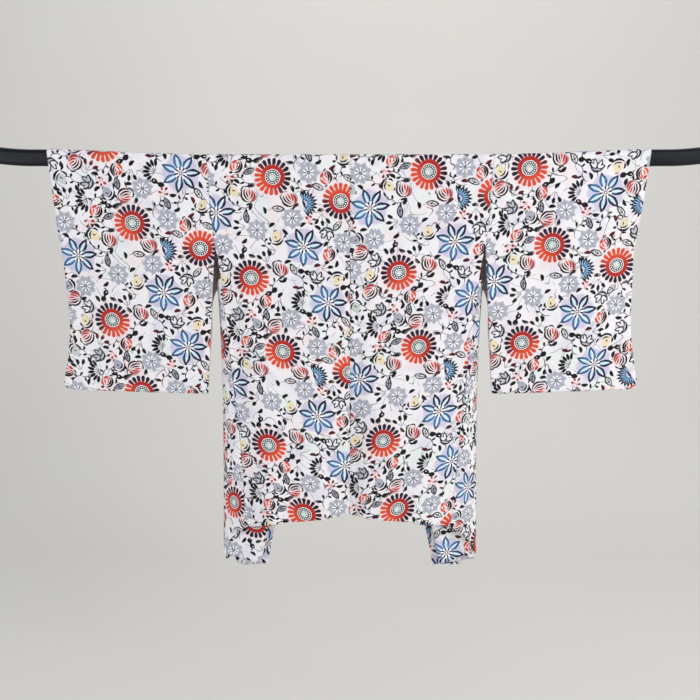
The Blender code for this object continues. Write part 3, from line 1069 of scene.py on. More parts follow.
@dataclass(frozen=True)
class Clematis(Motif):
    """A blue flower with seven pointed, thickly outlined petals and white stamens."""

    count: int = 3
    room: float = 4.1
    reach: float = 4.8
    petals: int = 7
    length: float = 4.25
    half: float = 0.82
    widest: float = 0.56
    taper: float = 1.8
    inner_half: float = 0.34
    inner_middle: float = 2.15
    inner_slope: float = 0.74
    stamens: Rays = Rays(8, 0.0, 0.4, 1.1, 0.06, 0.24, 0.30, 1.30)
    between: float = 0.16
    middle: Discs = ((0.36, Ink.MAROON), (0.20, Ink.WHITE))

    def paint(self, spot: Spot, below: Wire) -> Wire:
        """The soft disc, the petals, then the stamens and the middle."""
        g = spot.graph
        disc = spot.far + spot.from_ray(5, 0.2) * 0.30
        below = g.mix(g.ramp(disc, 4.3, 3.7), below, Ink.LAVENDER)
        pitch = 2 * math.pi / self.petals
        bend = abs(g.math("FRACT", spot.turn * (1 / pitch)) - 0.5) * pitch
        along = spot.far * g.math("COSINE", bend)
        off = spot.far * g.math("SINE", bend)
        widest = self.widest * self.length
        gone = abs(along - widest) * (1 / (self.length - widest))
        petal = off.under(self.half - g.math("POWER", gone, self.taper) * self.half)
        gone = abs(along - self.inner_middle) * self.inner_slope
        inner = self.inner_half - g.math("POWER", gone, 2.0) * self.inner_half
        rim = g.mix(g.ramp(spot.y, -1.6, 1.6), Ink.STEEL, Ink.NAVY)
        rim = g.mix(g.ramp(spot.far, 3.0, 3.8) * 0.6, rim, Ink.NAVY)
        streak = g.mix(g.ramp(off, 0.02, 0.18), Ink.WHITE, Ink.SKY)
        painted = g.mix(petal, below, g.mix(off.under(inner, soft=0.06), rim, streak))
        gap = spot.from_ray(self.stamens.count, 0.5).under(self.between)
        gap = gap * spot.far.over(0.60) * spot.far.under(self.stamens.end)
        painted = g.mix(spot.far.under(1.05, soft=0.1) * 0.6, painted, Ink.MIST)
        painted = g.mix(gap, painted, Ink.NAVY)
        painted = g.mix(self.stamens.shape(spot), painted, Ink.WHITE)
        return self.stack(spot, painted, self.middle)


@dataclass(frozen=True)
class Cloud(Motif):
    """A soft grey flower of ragged lobes with white strokes in its middle."""

    count: int = 8
    room: float = 2.25
    reach: float = 2.7
    radius: float = 2.05
    lobes: int = 8
    lobe: float = 0.20
    notches: int = 19
    notch: float = 0.07
    wedges: Rays = Rays(8, 0.5, 0.3, 1.0, 0.02, 0.09, 0.45, 1.0)
    strokes: Rays = Rays(8, 0.0, 0.3, 1.0, 0.04, 0.15, 0.30, 1.2)
    eye: float = 0.25

    def paint(self, spot: Spot, below: Wire) -> Wire:
        """The lobes, then the strokes and the dark middle."""
        g = spot.graph
        ragged = g.math("SINE", spot.turn * float(self.notches)) * self.notch
        edge = g.math("COSINE", spot.turn * float(self.lobes)) * self.lobe + ragged
        body = g.mix(g.ramp(g.noise(spot.place, 1.1, 2.0), 0.3, 0.7), Ink.MIST, Ink.FOG)
        parting = spot.from_ray(self.lobes, 0.5).under(0.05, soft=0.08) * spot.far.over(1.2)
        body = g.mix(parting, body, Ink.ASH)
        painted = g.mix((spot.far - edge).under(self.radius, soft=0.14), below, body)
        wedge = self.wedges.shape(spot) * g.ramp(spot.y, -0.6, 0.5)
        painted = g.mix(wedge, painted, Ink.BLACK)
        painted = g.mix(self.strokes.shape(spot), painted, Ink.WHITE)
        return g.mix(abs(spot.far - self.eye).under(0.08), painted, Ink.BLACK)


@dataclass(frozen=True)
class HalfFlower(Motif):
    """An open fan of dark-tipped blue petals seen from the side, on a long curved stalk."""

    count: int = 2
    room: float = 2.5
    reach: float = 3.6
    petals: int = 21
    spread: float = 5.5
    base: float = 1.1
    middle: float = 1.75
    long: float = 1.15
    half: float = 0.30
    taper: float = 2.5
    stalk: Blades = (Blade((0.0, -1.1), (3.3, -0.5), -0.62, -0.50),)
    calyx: Blades = (
        Blade((-1.3, -0.75), (1.3, -0.75), -0.62, -0.25), Blade((-0.4, -1.0), (0.5, -1.0), -0.3, 0.2),
    )

    def paint(self, spot: Spot, below: Wire) -> Wire:
        """The stalk, the petals and the dark calyx."""
        g = spot.graph
        painted = self.brush(spot, below, Ink.BLACK, self.stalk)
        base = spot.y + self.base
        far = g.math("SQRT", spot.x * spot.x + base * base)
        lean = g.math("ARCTAN2", spot.x, base)
        pitch = 2 * math.pi / self.petals
        off = abs(g.math("FRACT", lean * (1 / pitch) + 0.5) - 0.5) * pitch * far
        gone = abs(far - self.middle) * (1 / self.long)
        fan = abs(lean).under(self.spread * pitch)
        petal = off.under(self.half - g.math("POWER", gone, self.taper) * self.half) * fan
        painted = g.mix(far.under(1.7, soft=0.1) * fan * 0.8, painted, Ink.LAVENDER)
        blue = g.mix(g.ramp(far, 1.1, 1.9), Ink.STEEL, Ink.NAVY)
        streak = off.under(0.07) * far.under(2.0, soft=0.1) * far.over(1.0)
        painted = g.mix(petal, painted, g.mix(streak, blue, Ink.SKY))
        return self.brush(spot, painted, Ink.NAVY, self.calyx)


@dataclass(frozen=True)
class Bud(Motif):
    """A rosebud: bold black strokes on one side, red petals on the other, on a pink wash."""

    count: int = 7
    room: float = 1.65
    reach: float = 2.7
    halo: Halo = Halo(Ink.BLUSH, 1.75, 1.35, 0.75)
    black: Blades = (
        Blade((0.1, -1.5), (-0.75, 1.25), 0.80, 1.16), Blade((0.05, -1.1), (-0.30, 1.35), 0.42, 0.72),
        Blade((0.15, -0.75), (0.05, 1.05), 0.12, 0.38), Blade((-1.25, 0.75), (-0.35, 1.75), 0.22, 0.48),
        Blade((-0.4, 1.7), (0.75, 1.35), 0.14, 0.40), Blade((0.1, -1.4), (0.7, -2.4), 0.10, 0.20),
        Blade((0.35, -1.75), (-0.7, -2.05), -0.16, 0.20),
    )
    red: Blades = (
        Blade((0.15, -1.45), (1.25, 0.55), -0.86, -0.42), Blade((0.25, -1.0), (0.95, 1.0), -0.50, -0.10),
        Blade((0.35, -0.35), (0.45, 1.25), -0.24, 0.14),
    )
    dark: Blades = (
        Blade((0.15, -1.5), (1.4, 0.75), -1.02, -0.88), Blade((0.2, -1.2), (1.05, 0.9), -0.60, -0.50),
    )

    def paint(self, spot: Spot, below: Wire) -> Wire:
        """The wash, the red petals with their dark edges and the black strokes."""
        g = spot.graph
        red = g.mix(g.ramp(spot.y, -0.2, 0.8), Ink.CRIMSON, Ink.ROSE)
        painted = self.brush(spot, self.halo.lay(spot, below), red, self.red)
        painted = self.brush(spot, painted, Ink.MAROON, self.dark)
        return self.brush(spot, painted, Ink.BLACK, self.black, bold=0.03)


@dataclass(frozen=True)
class Rose(Motif):
    """A small open rose: red petals above and bold black crescents below."""

    count: int = 6
    room: float = 1.55
    reach: float = 2.5
    halo: Halo = Halo(Ink.BLUSH, 1.7, 1.3, 0.7)
    black: Blades = (
        Blade((-1.30, -0.55), (1.15, 0.75), -1.18, -0.76), Blade((-0.85, -0.30), (0.85, 0.55), -0.66, -0.34),
        Blade((0.80, 0.95), (1.60, 0.55), 0.10, 0.34), Blade((-1.45, -0.45), (-2.05, -0.05), -0.22, 0.24),
        Blade((0.9, -1.0), (2.0, -1.35), 0.05, 0.16), Blade((1.2, -1.05), (1.9, -0.4), -0.24, 0.20),
    )
    red: Blades = (
        Blade((-1.25, -0.35), (-0.55, 1.30), 0.10, 0.60), Blade((-0.55, 1.30), (0.75, 1.05), -0.30, 0.26),
        Blade((-0.75, -0.15), (-0.05, 0.90), 0.06, 0.38), Blade((0.05, 0.85), (0.95, 0.80), -0.42, -0.12),
        Blade((-0.30, -0.15), (0.35, 0.45), -0.20, 0.12),
    )

    def paint(self, spot: Spot, below: Wire) -> Wire:
        """The wash, the petals and the crescents."""
        g = spot.graph
        red = g.mix(g.ramp(spot.x, -0.8, 0.8), Ink.VERMILION, Ink.CRIMSON)
        painted = self.brush(spot, self.halo.lay(spot, below), red, self.red)
        return self.brush(spot, painted, Ink.BLACK, self.black, bold=0.03)


@dataclass(frozen=True)
class Bell(Motif):
    """A bell of thick black strokes that hug a wash of beige, grey or sage."""

    count: int = 9
    room: float = 1.55
    reach: float = 2.4
    wash: Blades = (Blade((-0.95, 0.35), (1.45, 0.25), -0.95, 0.85),)
    black: Blades = (
        Blade((-1.25, 0.95), (0.25, -1.25), -0.98, -0.52), Blade((-0.80, 0.55), (0.35, -0.75), -0.52, -0.22),
        Blade((-1.05, 0.90), (-0.05, 1.45), 0.04, 0.42), Blade((0.40, -1.20), (1.60, -1.50), -0.42, -0.08),
        Blade((-0.20, 0.15), (0.30, 0.55), -0.16, 0.06), Blade((-1.25, 1.10), (-1.85, 1.75), -0.20, 0.26),
        Blade((1.05, 0.95), (1.55, 0.30), 0.06, 0.26),
    )

    def paint(self, spot: Spot, below: Wire) -> Wire:
        """The wash, then the strokes."""
        g = spot.graph
        wash = g.mix(spot.seed.over(0.60), Ink.BEIGE, Ink.MIST)
        wash = g.mix(spot.seed.over(0.82), wash, Ink.SAGE)
        painted = self.brush(spot, below, wash, self.wash)
        return self.brush(spot, painted, Ink.BLACK, self.black, bold=0.02)


@dataclass(frozen=True)
class Peony(Motif):
    """A flower of outlined grey-white petals over a dark cup."""

    count: int = 8
    room: float = 1.65
    reach: float = 2.5
    halo: Halo = Halo(Ink.MIST, 1.7, 1.2, 0.5)
    black: Blades = (
        Blade((-1.65, 0.35), (-0.10, -0.55), -0.45, 0.52), Blade((-0.85, 1.45), (-0.05, -0.45), -0.48, 0.38),
        Blade((0.80, 1.45), (0.05, -0.45), -0.36, 0.50), Blade((1.65, 0.30), (0.10, -0.55), -0.52, 0.42),
        Blade((-1.30, -0.25), (1.25, -0.30), -1.05, -0.72), Blade((0.0, -0.9), (0.5, -2.2), 0.10, 0.20),
    )
    pale: Blades = (
        Blade((-1.35, 0.30), (-0.25, -0.42), -0.22, 0.32), Blade((-0.75, 1.15), (-0.15, -0.20), -0.26, 0.18),
        Blade((0.68, 1.15), (0.15, -0.20), -0.16, 0.28), Blade((1.35, 0.25), (0.25, -0.42), -0.30, 0.20),
    )

    def paint(self, spot: Spot, below: Wire) -> Wire:
        """The dark outlines, then the pale petals within them."""
        painted = self.brush(spot, self.halo.lay(spot, below), Ink.BLACK, self.black, bold=0.03)
        pale = spot.graph.mix(spot.seed.over(0.5), Ink.GROUND, Ink.FOG)
        return self.brush(spot, painted, pale, self.pale)


@dataclass(frozen=True)
class VeinedLeaf(Motif):
    """A leaf with a thick black edge, a midrib and a few veins."""

    count: int = 11
    room: float = 1.15
    reach: float = 2.2
    edge: Blades = (
        Blade((0.0, -1.35), (0.0, 1.45), -0.74, 0.62), Blade((0.0, -1.3), (0.55, -2.1), 0.10, 0.20),
    )
    inside: Blades = (Blade((0.0, -1.10), (0.0, 1.05), -0.52, 0.34),)
    veins: Blades = (
        Blade((0.0, -1.2), (0.05, 1.1), -0.10, 0.03), Blade((0.0, -0.6), (0.65, 0.15), 0.04, 0.16),
        Blade((0.0, -0.1), (0.50, 0.60), 0.04, 0.15), Blade((0.0, -0.5), (-0.50, 0.2), -0.16, -0.04),
    )

    def paint(self, spot: Spot, below: Wire) -> Wire:
        """The edge, the pale inside and the veins."""
        g = spot.graph
        painted = self.brush(spot, below, Ink.BLACK, self.edge)
        pale = g.mix(spot.seed.over(0.6), Ink.GROUND, Ink.MIST)
        painted = self.brush(spot, painted, pale, self.inside)
        return self.brush(spot, painted, Ink.BLACK, self.veins, bold=0.02)


@dataclass(frozen=True)
class Spray(Motif):
    """Teardrops that fan out from one stem."""

    count: int = 2
    room: float = 1.9
    reach: float = 2.7
    drops: int = 7
    pitch: float = 0.40
    base: float = 1.3
    out: float = 1.95
    long: float = 0.75
    slim: float = 5.0
    stem_half: float = 0.05

    def paint(self, spot: Spot, below: Wire) -> Wire:
        """The stems, then their drops."""
        g = spot.graph
        base = spot.y + self.base
        from_base = g.math("SQRT", spot.x * spot.x + base * base)
        lean = g.math("ARCTAN2", spot.x, base)
        off = abs(g.math("FRACT", lean * (1 / self.pitch) + 0.5) - 0.5) * self.pitch * from_base
        fan = abs(lean).under(self.drops * self.pitch / 2, soft=0.02)
        stem = off.under(self.stem_half) * from_base.under(self.out - 0.4) * from_base.over(0.2) * fan
        gone = from_base - self.out
        drop = g.math("SQRT", off * off * self.slim + gone * gone)
        painted = g.mix(stem, below, Ink.BLACK)
        tone = g.mix(spot.seed.over(0.85), Ink.BLACK, Ink.MAROON)
        return g.mix(drop.under(self.long, soft=0.05) * fan, painted, tone)


@dataclass(frozen=True)
class Sprout(Spray):
    """Three fuller teardrops on a forked stem."""

    count: int = 8
    room: float = 1.35
    reach: float = 2.6
    drops: int = 3
    pitch: float = 0.62
    out: float = 2.05
    long: float = 0.62
    slim: float = 2.9


@dataclass(frozen=True)
class Bow(Motif):
    """Two black lobes joined by a short bent bar."""

    count: int = 7
    room: float = 1.15
    reach: float = 1.7
    black: Blades = (
        Blade((-1.45, -0.15), (-0.05, 0.10), -0.46, 0.66), Blade((1.40, -0.30), (0.00, 0.05), -0.64, 0.46),
        Blade((-0.60, 0.05), (0.70, -0.10), -0.12, 0.34), Blade((1.20, 0.10), (1.75, 0.60), -0.18, 0.14),
    )
    notch: Blades = (Blade((0.65, -0.10), (1.05, -0.20), -0.10, 0.12),)

    def paint(self, spot: Spot, below: Wire) -> Wire:
        """The lobes and the bar, and a pale notch in one lobe."""
        painted = self.brush(spot, below, Ink.BLACK, self.black)
        return self.brush(spot, painted, Ink.BLUSH, self.notch)


@dataclass(frozen=True)
class Berries(Motif):
    """Red-brown drops on thin red stems about a pink spot."""

    count: int = 6
    room: float = 1.2
    reach: float = 1.6
    halo: Halo = Halo(Ink.BLUSH, 1.3, 0.6, 0.7)
    stems: Blades = (
        Blade((0.0, -0.9), (0.55, 0.55), 0.10, 0.20), Blade((0.0, -0.9), (-0.65, 0.25), -0.20, -0.10),
    )
    drops: Blades = (
        Blade((0.35, 0.35), (1.05, 0.85), -0.26, 0.24), Blade((-0.45, 0.05), (-1.15, 0.45), -0.26, 0.26),
        Blade((-0.20, 0.45), (-0.15, 1.15), -0.24, 0.24), Blade((0.15, -0.55), (0.85, -0.45), -0.22, 0.24),
    )

    def paint(self, spot: Spot, below: Wire) -> Wire:
        """The spot, then its stems and drops."""
        painted = self.brush(spot, self.halo.lay(spot, below), Ink.CRIMSON, self.stems)
        tone = spot.graph.mix(spot.x.over(0.1, soft=0.1), Ink.CRIMSON, Ink.MAROON)
        return self.brush(spot, painted, tone, self.drops)


@dataclass(frozen=True)
class Leaf(Motif):
    """A small drop-shaped leaf."""

    count: int = 52
    room: float = 0.62
    reach: float = 1.2
    black: Blades = (Blade((-0.10, -0.70), (0.12, 0.74), -0.14, 0.52),)

    def paint(self, spot: Spot, below: Wire) -> Wire:
        """The leaf, in black or here and there in maroon."""
        tone = spot.graph.mix(spot.seed.over(0.90), Ink.BLACK, Ink.MAROON)
        return self.brush(spot, below, tone, self.black, bold=0.05)


@dataclass(frozen=True)
class Tendril(Motif):
    """A stem that curls one way and then the other, with a few leaves."""

    count: int = 17
    room: float = 1.15
    reach: float = 2.6
    black: Blades = (
        Blade((-2.2, -0.9), (0.0, 0.1), 0.38, 0.50), Blade((0.0, 0.1), (2.2, 0.5), -0.60, -0.48),
        Blade((-1.1, 0.1), (-1.5, 0.95), -0.22, 0.18), Blade((-0.2, 0.15), (0.55, 0.85), -0.16, 0.26),
        Blade((0.7, -0.35), (0.75, -1.2), -0.20, 0.24), Blade((1.4, -0.2), (2.0, -0.75), -0.18, 0.16),
    )

    def paint(self, spot: Spot, below: Wire) -> Wire:
        """The stem and its leaves."""
        return self.brush(spot, below, Ink.BLACK, self.black, bold=0.03)


@dataclass(frozen=True)
class Placed:
    """One motif's place in the repeat, in centimetres, and its turn."""

    motif: Motif
    x: float
    y: float
    turn: float


@dataclass(frozen=True)
class Repeat:
    """One repeat of the print: which motifs it holds and where they lie.

    In each round motifs push each other off by a share of what they lack, push, until they are
    apart. Motifs of one kind keep further off: alike, as a share of their even spacing.
    """

    width: float = 36.0
    height: float = 37.0
    rounds: int = 500
    seed: int = 11
    apart: float = 0.12
    alike: float = 0.62
    push: float = 0.45
    large: tuple[Placed, ...] = (
        Placed(Chrysanthemum(), 17.0, 30.0, 0.9), Placed(Chrysanthemum(), 31.0, 25.0, 3.0),
        Placed(Chrysanthemum(), 11.5, 9.0, -0.5), Placed(Clematis(), 23.0, 15.5, 0.3),
        Placed(Clematis(), 27.5, 3.5, 2.2), Placed(Clematis(), 5.0, 22.5, 1.2),
    )
    small: tuple[Motif, ...] = (
        Cloud(), HalfFlower(), Spray(), Bud(), Rose(), Peony(), Bell(), Sprout(), Tendril(), Bow(),
        Berries(), VeinedLeaf(), Leaf(),
    )

    @cached_property
    def layout(self) -> list[Placed]:
        """Every motif's place: the large flowers as given, the rest pushed clear of each other."""
        chance = random.Random(self.seed)
        motifs = [one.motif for one in self.large]
        places = [(one.x, one.y) for one in self.large]
        fixed = len(places)
        for motif in self.small:
            motifs += [motif] * motif.count
            places += [(chance.uniform(0, self.width), chance.uniform(0, self.height))
                       for _ in range(motif.count)]
        at = np.array(places, float)
        room = np.array([m.room for m in motifs])
        kinds = [type(m).__name__ for m in motifs]
        same = np.array([[a == b for b in kinds] for a in kinds])
        need = room[:, None] + room[None, :] + self.apart
        even = np.sqrt(self.width * self.height / np.array([m.count for m in motifs])) * self.alike
        need = np.where(same, np.maximum(need, even[:, None]), need)
        size = np.array([self.width, self.height])
        weight = np.where(np.arange(len(at)) < fixed, 0.0, 1 / room ** 2)
        pull = weight[:, None] / np.maximum(weight[:, None] + weight[None, :], TINY)
        itself = np.eye(len(at)) * 1e3
        for _ in range(self.rounds):
            gap = at[:, None, :] - at[None, :, :]
            gap -= size * np.round(gap / size)
            far = np.linalg.norm(gap, axis=2) + itself
            short = np.maximum(need - far, 0)
            moved = gap / far[..., None] * (short * pull)[..., None]
            at = (at + self.push * moved.sum(axis=1)) % size
        rest = [Placed(m, float(x), float(y), chance.uniform(0, 2 * math.pi))
                for m, (x, y) in zip(motifs[fixed:], at[fixed:])]
        return [*self.large, *rest]


@dataclass(frozen=True)
class Print:
    """The whole printed pattern, as one node group that turns a place on the cloth into a colour.

    The nodes carry a motif's middle as one vector, which is zero where none is near. So places in
    the repeat are moved out by away, and the vector's third part is the motif's turn, made small
    by turn_code. A motif's seed, from 0 to 1, comes from its turn too.
    """

    repeat: Repeat = field(default_factory=Repeat)
    away: float = 100.0
    turn_code: float = 0.001
    seed_step: float = 7.31
    wobble: Place = (0.22, 0.22, 0.0)
    wobble_scale: float = 1.3
    tints: tuple[tuple[float, float, float, Ink], ...] = (
        (0.50, 0.66, 0.40, Ink.LAVENDER), (0.56, 0.68, 0.55, Ink.MINT), (0.57, 0.70, 0.50, Ink.BLUSH),
    )
    tint_scale: float = 0.21
    bend: Place = (6.5, 6.5, 0.0)
    bend_scale: float = 0.20
    gap_scale: float = 0.42
    stems: tuple[tuple[float, float], ...] = ((6.3, 0.47), (6.0, 0.47), (7.1, 0.50))
    stem_half: float = 0.072

    def _spot(self, g: Graph, place: Wire, motif: Motif, placed: Iterable[Placed]) -> Spot:
        """Finds the nearest motif of a kind.

        Args:
            g: the graph.
            place: the place within the repeat.
            motif: the kind, for its reach.
            placed: where motifs of that kind lie.

        Returns:
            The place within that motif.
        """
        wide, high = self.repeat.width, self.repeat.height
        middle: Source = (0.0, 0.0, 0.0)
        for one in placed:
            for across in (-wide, 0, wide):
                for along in (-high, 0, high):
                    x, y = one.x + across, one.y + along
                    if not (-motif.reach < x < wide + motif.reach
                            and -motif.reach < y < high + motif.reach):
                        continue
                    centre = (x + self.away, y + self.away, one.turn * self.turn_code)
                    near = g.math("LESS_THAN", g.vector("DISTANCE", place, centre), motif.reach)
                    middle = g.choose(near, middle, centre)
        offset = g.vector("SUBTRACT", place, middle)
        turn = g.split(offset)[2] * (-1 / self.turn_code)
        turned = g.node("ShaderNodeVectorRotate", rotation_type="Z_AXIS")
        g.feed(turned.inputs["Vector"], offset)
        g.feed(turned.inputs["Angle"], turn)
        inside = Wire(g, turned.outputs[0])
        x, y, _ = g.split(inside)
        return Spot(g, inside, x, y, g.vector("LENGTH", offset), g.math("ARCTAN2", y, x),
                    g.math("FRACT", turn * self.seed_step))

    def _ground(self, g: Graph, cloth: Wire) -> Wire:
        """The off-white ground with its faint tints and its thin vines.

        Args:
            g: the graph.
            cloth: the place on the whole cloth.

        Returns:
            The ground's colour.
        """
        ground: Source = Ink.GROUND
        clouds = g.split(g.noise(cloth, self.tint_scale, 1.0, colour=True))
        for cloud, (low, high, share, ink) in zip(clouds, self.tints):
            ground = g.mix(g.ramp(cloud, low, high) * share, ground, ink)
        bend = g.noise(cloth, self.bend_scale, 0.0, colour=True)
        x, y, _ = g.split(g.vector("MULTIPLY_ADD", bend, self.bend, cloth))
        gaps = g.split(g.noise(cloth, self.gap_scale, 0.0, colour=True))
        ways = (
            x + g.math("SINE", y * 0.80) * 1.5,
            y + g.math("SINE", x * 0.72) * 1.6,
            (x + y) * 0.7 + g.math("SINE", (x - y) * 0.62) * 1.4,
        )
        vines = []
        for way, gap, (spacing, limit) in zip(ways, gaps, self.stems):
            away = abs(g.math("FRACT", way * (1 / spacing)) - 0.5) * spacing
            vines.append(away.under(self.stem_half, INK_EDGE) * gap.over(limit, soft=0.02))
        vine = g.math("MAXIMUM", g.math("MAXIMUM", vines[0], vines[1]), vines[2])
        return g.mix(vine * 0.9, ground, Ink.BLACK)

    @cached_property
    def group(self) -> bpy.types.NodeTree:
        """The node group, with the place on the cloth in centimetres in and the colour out."""
        tree = bpy.data.node_groups.new("flowered_print", "ShaderNodeTree")
        tree.interface.new_socket("Cloth", in_out="INPUT", socket_type="NodeSocketVector")
        tree.interface.new_socket("Colour", in_out="OUTPUT", socket_type="NodeSocketColor")
        g = Graph(tree)
        cloth = Wire(g, g.node("NodeGroupInput").outputs["Cloth"])
        wobble = g.noise(cloth, self.wobble_scale, 1.0, colour=True)
        moved = g.vector("MULTIPLY_ADD", wobble, self.wobble, cloth)
        flat = g.vector("MULTIPLY", moved, (1.0, 1.0, 0.0))
        low = (self.away, self.away, -1.0)
        high = (self.away + self.repeat.width, self.away + self.repeat.height, 1.0)
        place = g.vector("WRAP", flat, high, low)
        painted = self._ground(g, cloth)
        for kind in (Tendril, Leaf, Sprout, Bow, Berries, Spray, Cloud, VeinedLeaf, Bell, Peony, Rose,
                     Bud, HalfFlower, Clematis, Chrysanthemum):
            placed = [p for p in self.repeat.layout if type(p.motif) is kind]
            painted = kind().paint(self._spot(g, place, kind(), placed), painted)
        out = g.node("NodeGroupOutput")
        g.feed(out.inputs["Colour"], painted)
        log.info("print: %d motifs in %d nodes", len(self.repeat.layout), len(tree.nodes))
        return tree


# ---- Finishes ----
class Finish:
    """A material, made once."""

    name = "finish"

    def start(self) -> tuple[bpy.types.Material, Graph, bpy.types.Node]:
        """A new material with its graph and its shader."""
        made = bpy.data.materials.new(self.name)
        made.use_nodes = True
        return made, Graph(made.node_tree), made.node_tree.nodes["Principled BSDF"]

    def bump(self, g: Graph, shader: bpy.types.Node, height: Wire, strength: float,
             distance: float) -> None:
        """Gives a shader fine relief.

        Args:
            g: the material's graph.
            shader: its Principled node.
            height: the relief, 0 to 1.
            strength: how much of it is felt.
            distance: how high 1 is, in metres.
        """
        node = g.node("ShaderNodeBump")
        g.feed(node.inputs["Height"], height)
        node.inputs["Strength"].default_value = strength
        node.inputs["Distance"].default_value = distance
        g.tree.links.new(node.outputs["Normal"], shader.inputs["Normal"])

    def set(self, shader: bpy.types.Node, values: dict[str, float]) -> None:
        """Sets some of a shader's plain values."""
        for socket, value in values.items():
            shader.inputs[socket].default_value = value

    def cloth_place(self, g: Graph) -> Wire:
        """The place on the flat cloth, in centimetres."""
        return Wire(g, g.node("ShaderNodeUVMap", uv_map="cloth").outputs["UV"])

    def object_place(self, g: Graph) -> Wire:
        """The place on the object, in metres."""
        return Wire(g, g.node("ShaderNodeTexCoord").outputs["Object"])


@dataclass(frozen=True)
class PrintedCrepe(Finish):
    """Silk crepe with the printed pattern: matt, faintly pebbled, with painted shade in its hollows and a
    soft sheen.
    """

    pattern: Print = field(default_factory=Print)
    name: str = "printed_crepe"
    roughness: float = 0.68
    gloss: float = 0.22
    sheen: float = 0.05
    sheen_roughness: float = 0.40
    pebble: float = 11.0
    relief: float = 0.35
    depth: float = 0.0004

    @cached_property
    def material(self) -> bpy.types.Material:
        """The material."""
        made, g, shader = self.start()
        cloth = self.cloth_place(g)
        group = g.node("ShaderNodeGroup", node_tree=self.pattern.group)
        g.feed(group.inputs[0], cloth)
        colour = Wire(g, group.outputs[0])
        # The pebble noise sets the relief, and the colour is painted up to a little darker where it is low:
        # painted shade in the hollows.
        relief_and_shade = g.noise(cloth, self.pebble, 2.0)
        shade = g.vector("MULTIPLY", colour, g.mix(g.ramp(relief_and_shade, 0.35, 0.65), Ink.HOLLOW_SHADE, Ink.LIGHT))
        g.feed(shader.inputs["Base Color"], shade)
        self.set(shader, {"Roughness": self.roughness, "Specular IOR Level": self.gloss,
                          "Sheen Weight": self.sheen, "Sheen Roughness": self.sheen_roughness})
        self.bump(g, shader, relief_and_shade, self.relief, self.depth)
        return made


@dataclass(frozen=True)
class Lining(Finish):
    """The plain silk inside: a fine rib of threads and a slow change of tone."""

    name: str = "silk_lining"
    roughness: float = 0.5
    sheen: float = 0.2
    threads: float = 7.0
    slubs: Place = (0.4, 9.0, 1.0)
    relief: float = 0.25
    depth: float = 0.0003

    @cached_property
    def material(self) -> bpy.types.Material:
        """The material."""
        made, g, shader = self.start()
        cloth = self.cloth_place(g)
        rib = abs(g.math("FRACT", g.split(cloth)[1] * self.threads) - 0.5) * 2.0
        slub = g.noise(g.vector("MULTIPLY", cloth, self.slubs), 1.0, 2.0)
        tone = g.mix(g.ramp(slub, 0.3, 0.7), Ink.LINING_SHADE, Ink.LINING)
        g.feed(shader.inputs["Base Color"], tone)
        self.set(shader, {"Roughness": self.roughness, "Sheen Weight": self.sheen})
        self.bump(g, shader, rib * 0.5 + slub, self.relief, self.depth)
        return made


@dataclass(frozen=True)
class Lacquer(Finish):
    """Black lacquer on wood: deep, a little soft, with faint long ripples."""

    name: str = "black_lacquer"
    deep: Colour = (0.004, 0.005, 0.008, 1)
    pale: Colour = (0.009, 0.011, 0.017, 1)
    roughness: float = 0.30
    roughest: float = 0.42
    gloss: float = 0.20
    ripples: Place = (6.0, 60.0, 60.0)
    specks: float = 420.0
    relief: float = 0.20
    depth: float = 0.0006

    @cached_property
    def material(self) -> bpy.types.Material:
        """The material."""
        made, g, shader = self.start()
        place = self.object_place(g)
        ripple = g.noise(g.vector("MULTIPLY", place, self.ripples), 1.0, 2.0)
        specks = g.noise(place, self.specks, 2.0)
        g.feed(shader.inputs["Base Color"], g.mix(g.ramp(ripple, 0.35, 0.7), self.deep, self.pale))
        rough = g.ramp(specks, 0.3, 0.7, (self.roughness, self.roughest))
        g.feed(shader.inputs["Roughness"], rough)
        self.set(shader, {"Specular IOR Level": self.gloss})
        self.bump(g, shader, ripple + specks * 0.15, self.relief, self.depth)
        return made


@dataclass(frozen=True)
class Paint(Finish):
    """The plain pale paint of the floor and the wall."""

    name: str = "pale_paint"
    roughness: float = 0.9
    patches: float = 1.5
    tint: float = 0.12

    @cached_property
    def material(self) -> bpy.types.Material:
        """The material."""
        made, g, shader = self.start()
        patches = g.noise(self.object_place(g), self.patches, 2.0)
        g.feed(shader.inputs["Base Color"], g.mix(patches * self.tint, Ink.WALL, Ink.LINING))
        self.set(shader, {"Roughness": self.roughness})
        return made


@dataclass(frozen=True)
class Wardrobe:
    """The finishes that the pieces share."""

    silk: PrintedCrepe = field(default_factory=PrintedCrepe)
    lining: Lining = field(default_factory=Lining)
    lacquer: Lacquer = field(default_factory=Lacquer)
    paint: Paint = field(default_factory=Paint)

    @property
    def cloth(self) -> list[bpy.types.Material]:
        """The outside and the lining, in the order that a shell takes them."""
        return [self.silk.material, self.lining.material]


# ---- The pieces ----
def declare(piece: bpy.types.Object, node: str) -> bpy.types.Object:
    """Fastens a piece to the frame in place of a solid.

    Args:
        piece: the piece.
        node: the solid that it stands for.

    Returns:
        The piece.
    """
    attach(piece, "root")
    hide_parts(node)
    return piece


@dataclass
class Sewn:
    """A piece of hanging cloth: where it is cut from the print, its thickness and its hem's."""

    drape: Drape
    side: Side
    panel: Panel
    wall: float = 0.0012
    hem: float = 1.35

    def sew(self, node: str, cloth: Cloth, flat: tuple[float, float], rests_on: Sequence[str],
            finishes: Wardrobe) -> bpy.types.Object:
        """Makes the cloth's wall and fastens it to the frame.

        Args:
            node: the solid that it stands for, which gives it its name.
            cloth: its middle surface.
            flat: the cut's width and length; not used.
            rests_on: what it hangs from; not used.
            finishes: the shared finishes.

        Returns:
            The piece.
        """
        piece = cloth.shell(f"cloth_{node}", self.side, self.wall, self.hem, self.panel,
                            finishes.cloth)
        declare(piece, node)
        return piece


